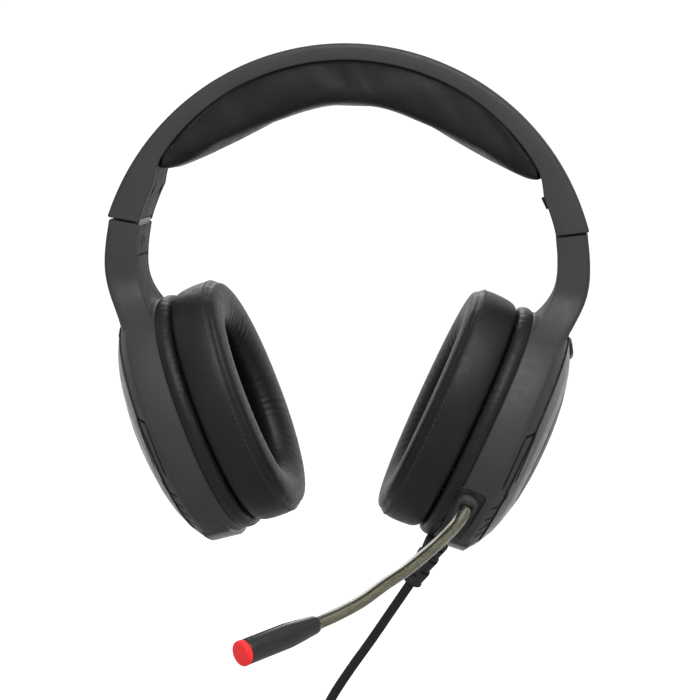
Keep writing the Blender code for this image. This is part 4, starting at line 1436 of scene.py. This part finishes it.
def make_cable():
    wound = coil_line()
    lead = smooth_line(CABLE_LEAD_ROUTE, 8)
    tail = smooth_line(CABLE_TAIL_ROUTE, 6)
    into = smooth_line([lead[-9], lead[-1], wound[2], wound[10]], 10)[10:20]
    beside_tail = tail[0] + Vector((-0.0022, 0.0, 0.0048))
    out = smooth_line([wound[-9], wound[-1], beside_tail, tail[0], tail[7]], 10)[10:30]
    line = evenly(lead[:-1] + into + wound[2:-1] + out + tail, 0.0022)
    length = line_length(line)
    points = 14
    cable = piece(
        "headset_cable", tube(line, CABLE_RADIUS, points), "cable_braid", "left_cup",
        replaces=["cable_lead", "cable_coil", "cable_tail"],
    )
    layer = cable.data.uv_layers.new(name="braid")
    spacing = length / (len(line) - 1)
    for face in cable.data.polygons:
        ring_points = [(index // points, index % points) for index in face.vertices]
        wraps = max(j for _i, j in ring_points) - min(j for _i, j in ring_points) > points // 2
        for loop, (i, j) in zip(face.loop_indices, ring_points):
            around = j + points if wraps and j < points // 2 else j
            layer.data[loop].uv = (around / points, i * spacing)
    make_relief()
    make_tie()
    make_plug()


def make_relief():
    """Broad boot in three stepped segments, with cross slots that let it bend."""
    where = frame_along(RELIEF_TOP, RELIEF_END - RELIEF_TOP)
    long = (RELIEF_END - RELIEF_TOP).length
    profile = [
        (0.0010, -0.0030), (0.0024, -0.0030), (0.0024, 0.0001), (0.0045, 0.0001), (0.0048, 0.0010),
    ]
    first, pitch, segments = 0.0010, (long - 0.0036) / 3, 3
    for k in range(segments):
        z = first + k * pitch
        wide = 0.0049 - 0.00022 * k
        profile += [
            (wide - 0.0007, z + 0.0002), (wide - 0.0001, z + 0.0008), (wide, z + 0.0022),
            (wide - 0.0007, z + pitch - 0.0003),
        ]
    profile += [(0.0042, long - 0.0024), (0.0040, long - 0.0012)]
    profile += [(0.0027, long - 0.0003), (0.0019, long - 0.0003)]
    boot = piece(
        "strain_relief_boot", turned(softened(profile, 0.0002, 2), where, 48), "rubber", "left_cup",
        replaces=["cable_strain_relief"],
    )
    slots = []
    for k in range(6):
        z = 0.0040 + 0.0027 * k
        for turn in (0.0, 180.0):
            middle = turn + (35.0 if k % 2 else -45.0)
            slots.append(arc_slot(where, middle, 78.0, 0.0032, 0.0070, z, z + 0.0012))
    carve(boot, slots, sharp=30.0)


def make_tie():
    """Cloth strap round the coil, with its free end laid over."""
    rings = []
    for k in range(15):
        angle = radians(-9.6 + 19.2 * k / 14)
        out = Vector((cos(angle), 0.0, sin(angle)))
        edge = 0.0003 if k in (0, 14) else 0.0
        ring = []
        for radius in (COIL_SECTION_RADIUS + 0.0006 + edge, COIL_SECTION_RADIUS + 0.0017 - edge):
            turn = [tau * j / 40 for j in range(40)]
            if radius > COIL_SECTION_RADIUS + 0.0010:
                turn = turn[::-1]
            for a in turn:
                lap = 0.0005 if radius > COIL_SECTION_RADIUS + 0.0010 and 0.3 < a < 2.2 else 0.0
                reach = radius + lap
                sideways = Vector((0.0, reach * sin(a), 0.0))
                ring.append(COIL_CENTRE + out * (COIL_MEAN_RADIUS + reach * cos(a)) + sideways)
        rings.append(ring)
    count = len(rings[0]) // 2
    inner = [ring[:count] for ring in rings]
    outer = [ring[count:][::-1] for ring in rings]
    strap = skin(inner + outer[::-1], closed=True)
    piece("coil_tie", strap, "cloth", "left_cup", replaces=["cable_tie_strap"])


def make_plug():
    place = Vector(CABLE_TAIL_ROUTE[-1])
    where = frame_along(place, place - Vector(CABLE_TAIL_ROUTE[-2]))
    grip = [(0.0016, 0.0003), (0.0026, 0.0003), (0.0030, 0.0075), (0.0040, 0.0092), (0.0044, 0.0110)]
    for k in range(6):
        z = 0.0125 + 0.0020 * k
        grip += [(0.0044, z), (0.0041, z + 0.0004), (0.0041, z + 0.0009), (0.0044, z + 0.0013)]
    grip += [(0.0044, 0.0262), (0.0037, 0.0279), (0.0016, 0.0280)]
    sleeve = turned(softened(grip, 0.0002, 2), where, 48)
    piece("plug_grip", sleeve, "rubber", "left_cup", replaces=["plug_sleeve"])
    pin = [
        (0.0006, 0.0282), (0.0030, 0.0282), (0.0030, 0.0290), (0.00175, 0.0290), (0.00175, 0.0398),
        (0.0013, 0.0407), (0.0013, 0.0411), (0.00170, 0.0418), (0.0013, 0.0427), (0.0005, 0.0431),
    ]
    contacts = turned(softened(pin, 0.00015), where, 40)
    piece("plug_contacts", contacts, "gold_plate", "left_cup", replaces=["plug_pin"])
    bands = []
    for z in (0.0326, 0.0352, 0.0378):
        band = [(0.00120, z), (0.00178, z), (0.00178, z + 0.0005), (0.00120, z + 0.0005)]
        bands.append(turned(band, where, 40, closed=True))
    piece("plug_rings", joined(bands), "dark_plastic", "left_cup")


# ---- build


def finish_cad_nodes():
    """The pieces that keep their own shape get the finish of their material slot."""
    slots = {row["node"]: row["material_slot"] for row in frame["record"]["subparts"]}
    for name, obj in frame["nodes"].items():
        if obj.hide_render:
            continue
        for index in range(max(1, len(obj.material_slots))):
            obj.material_slots[index].material = materials[slots[name]]


make_camera()
make_stage()
materials = make_materials()
make_cable()
make_headband()
make_cushion()
left_shell = make_cup(1, "left")
make_cup(-1, "right")
make_microphone(left_shell)
finish_cad_nodes()
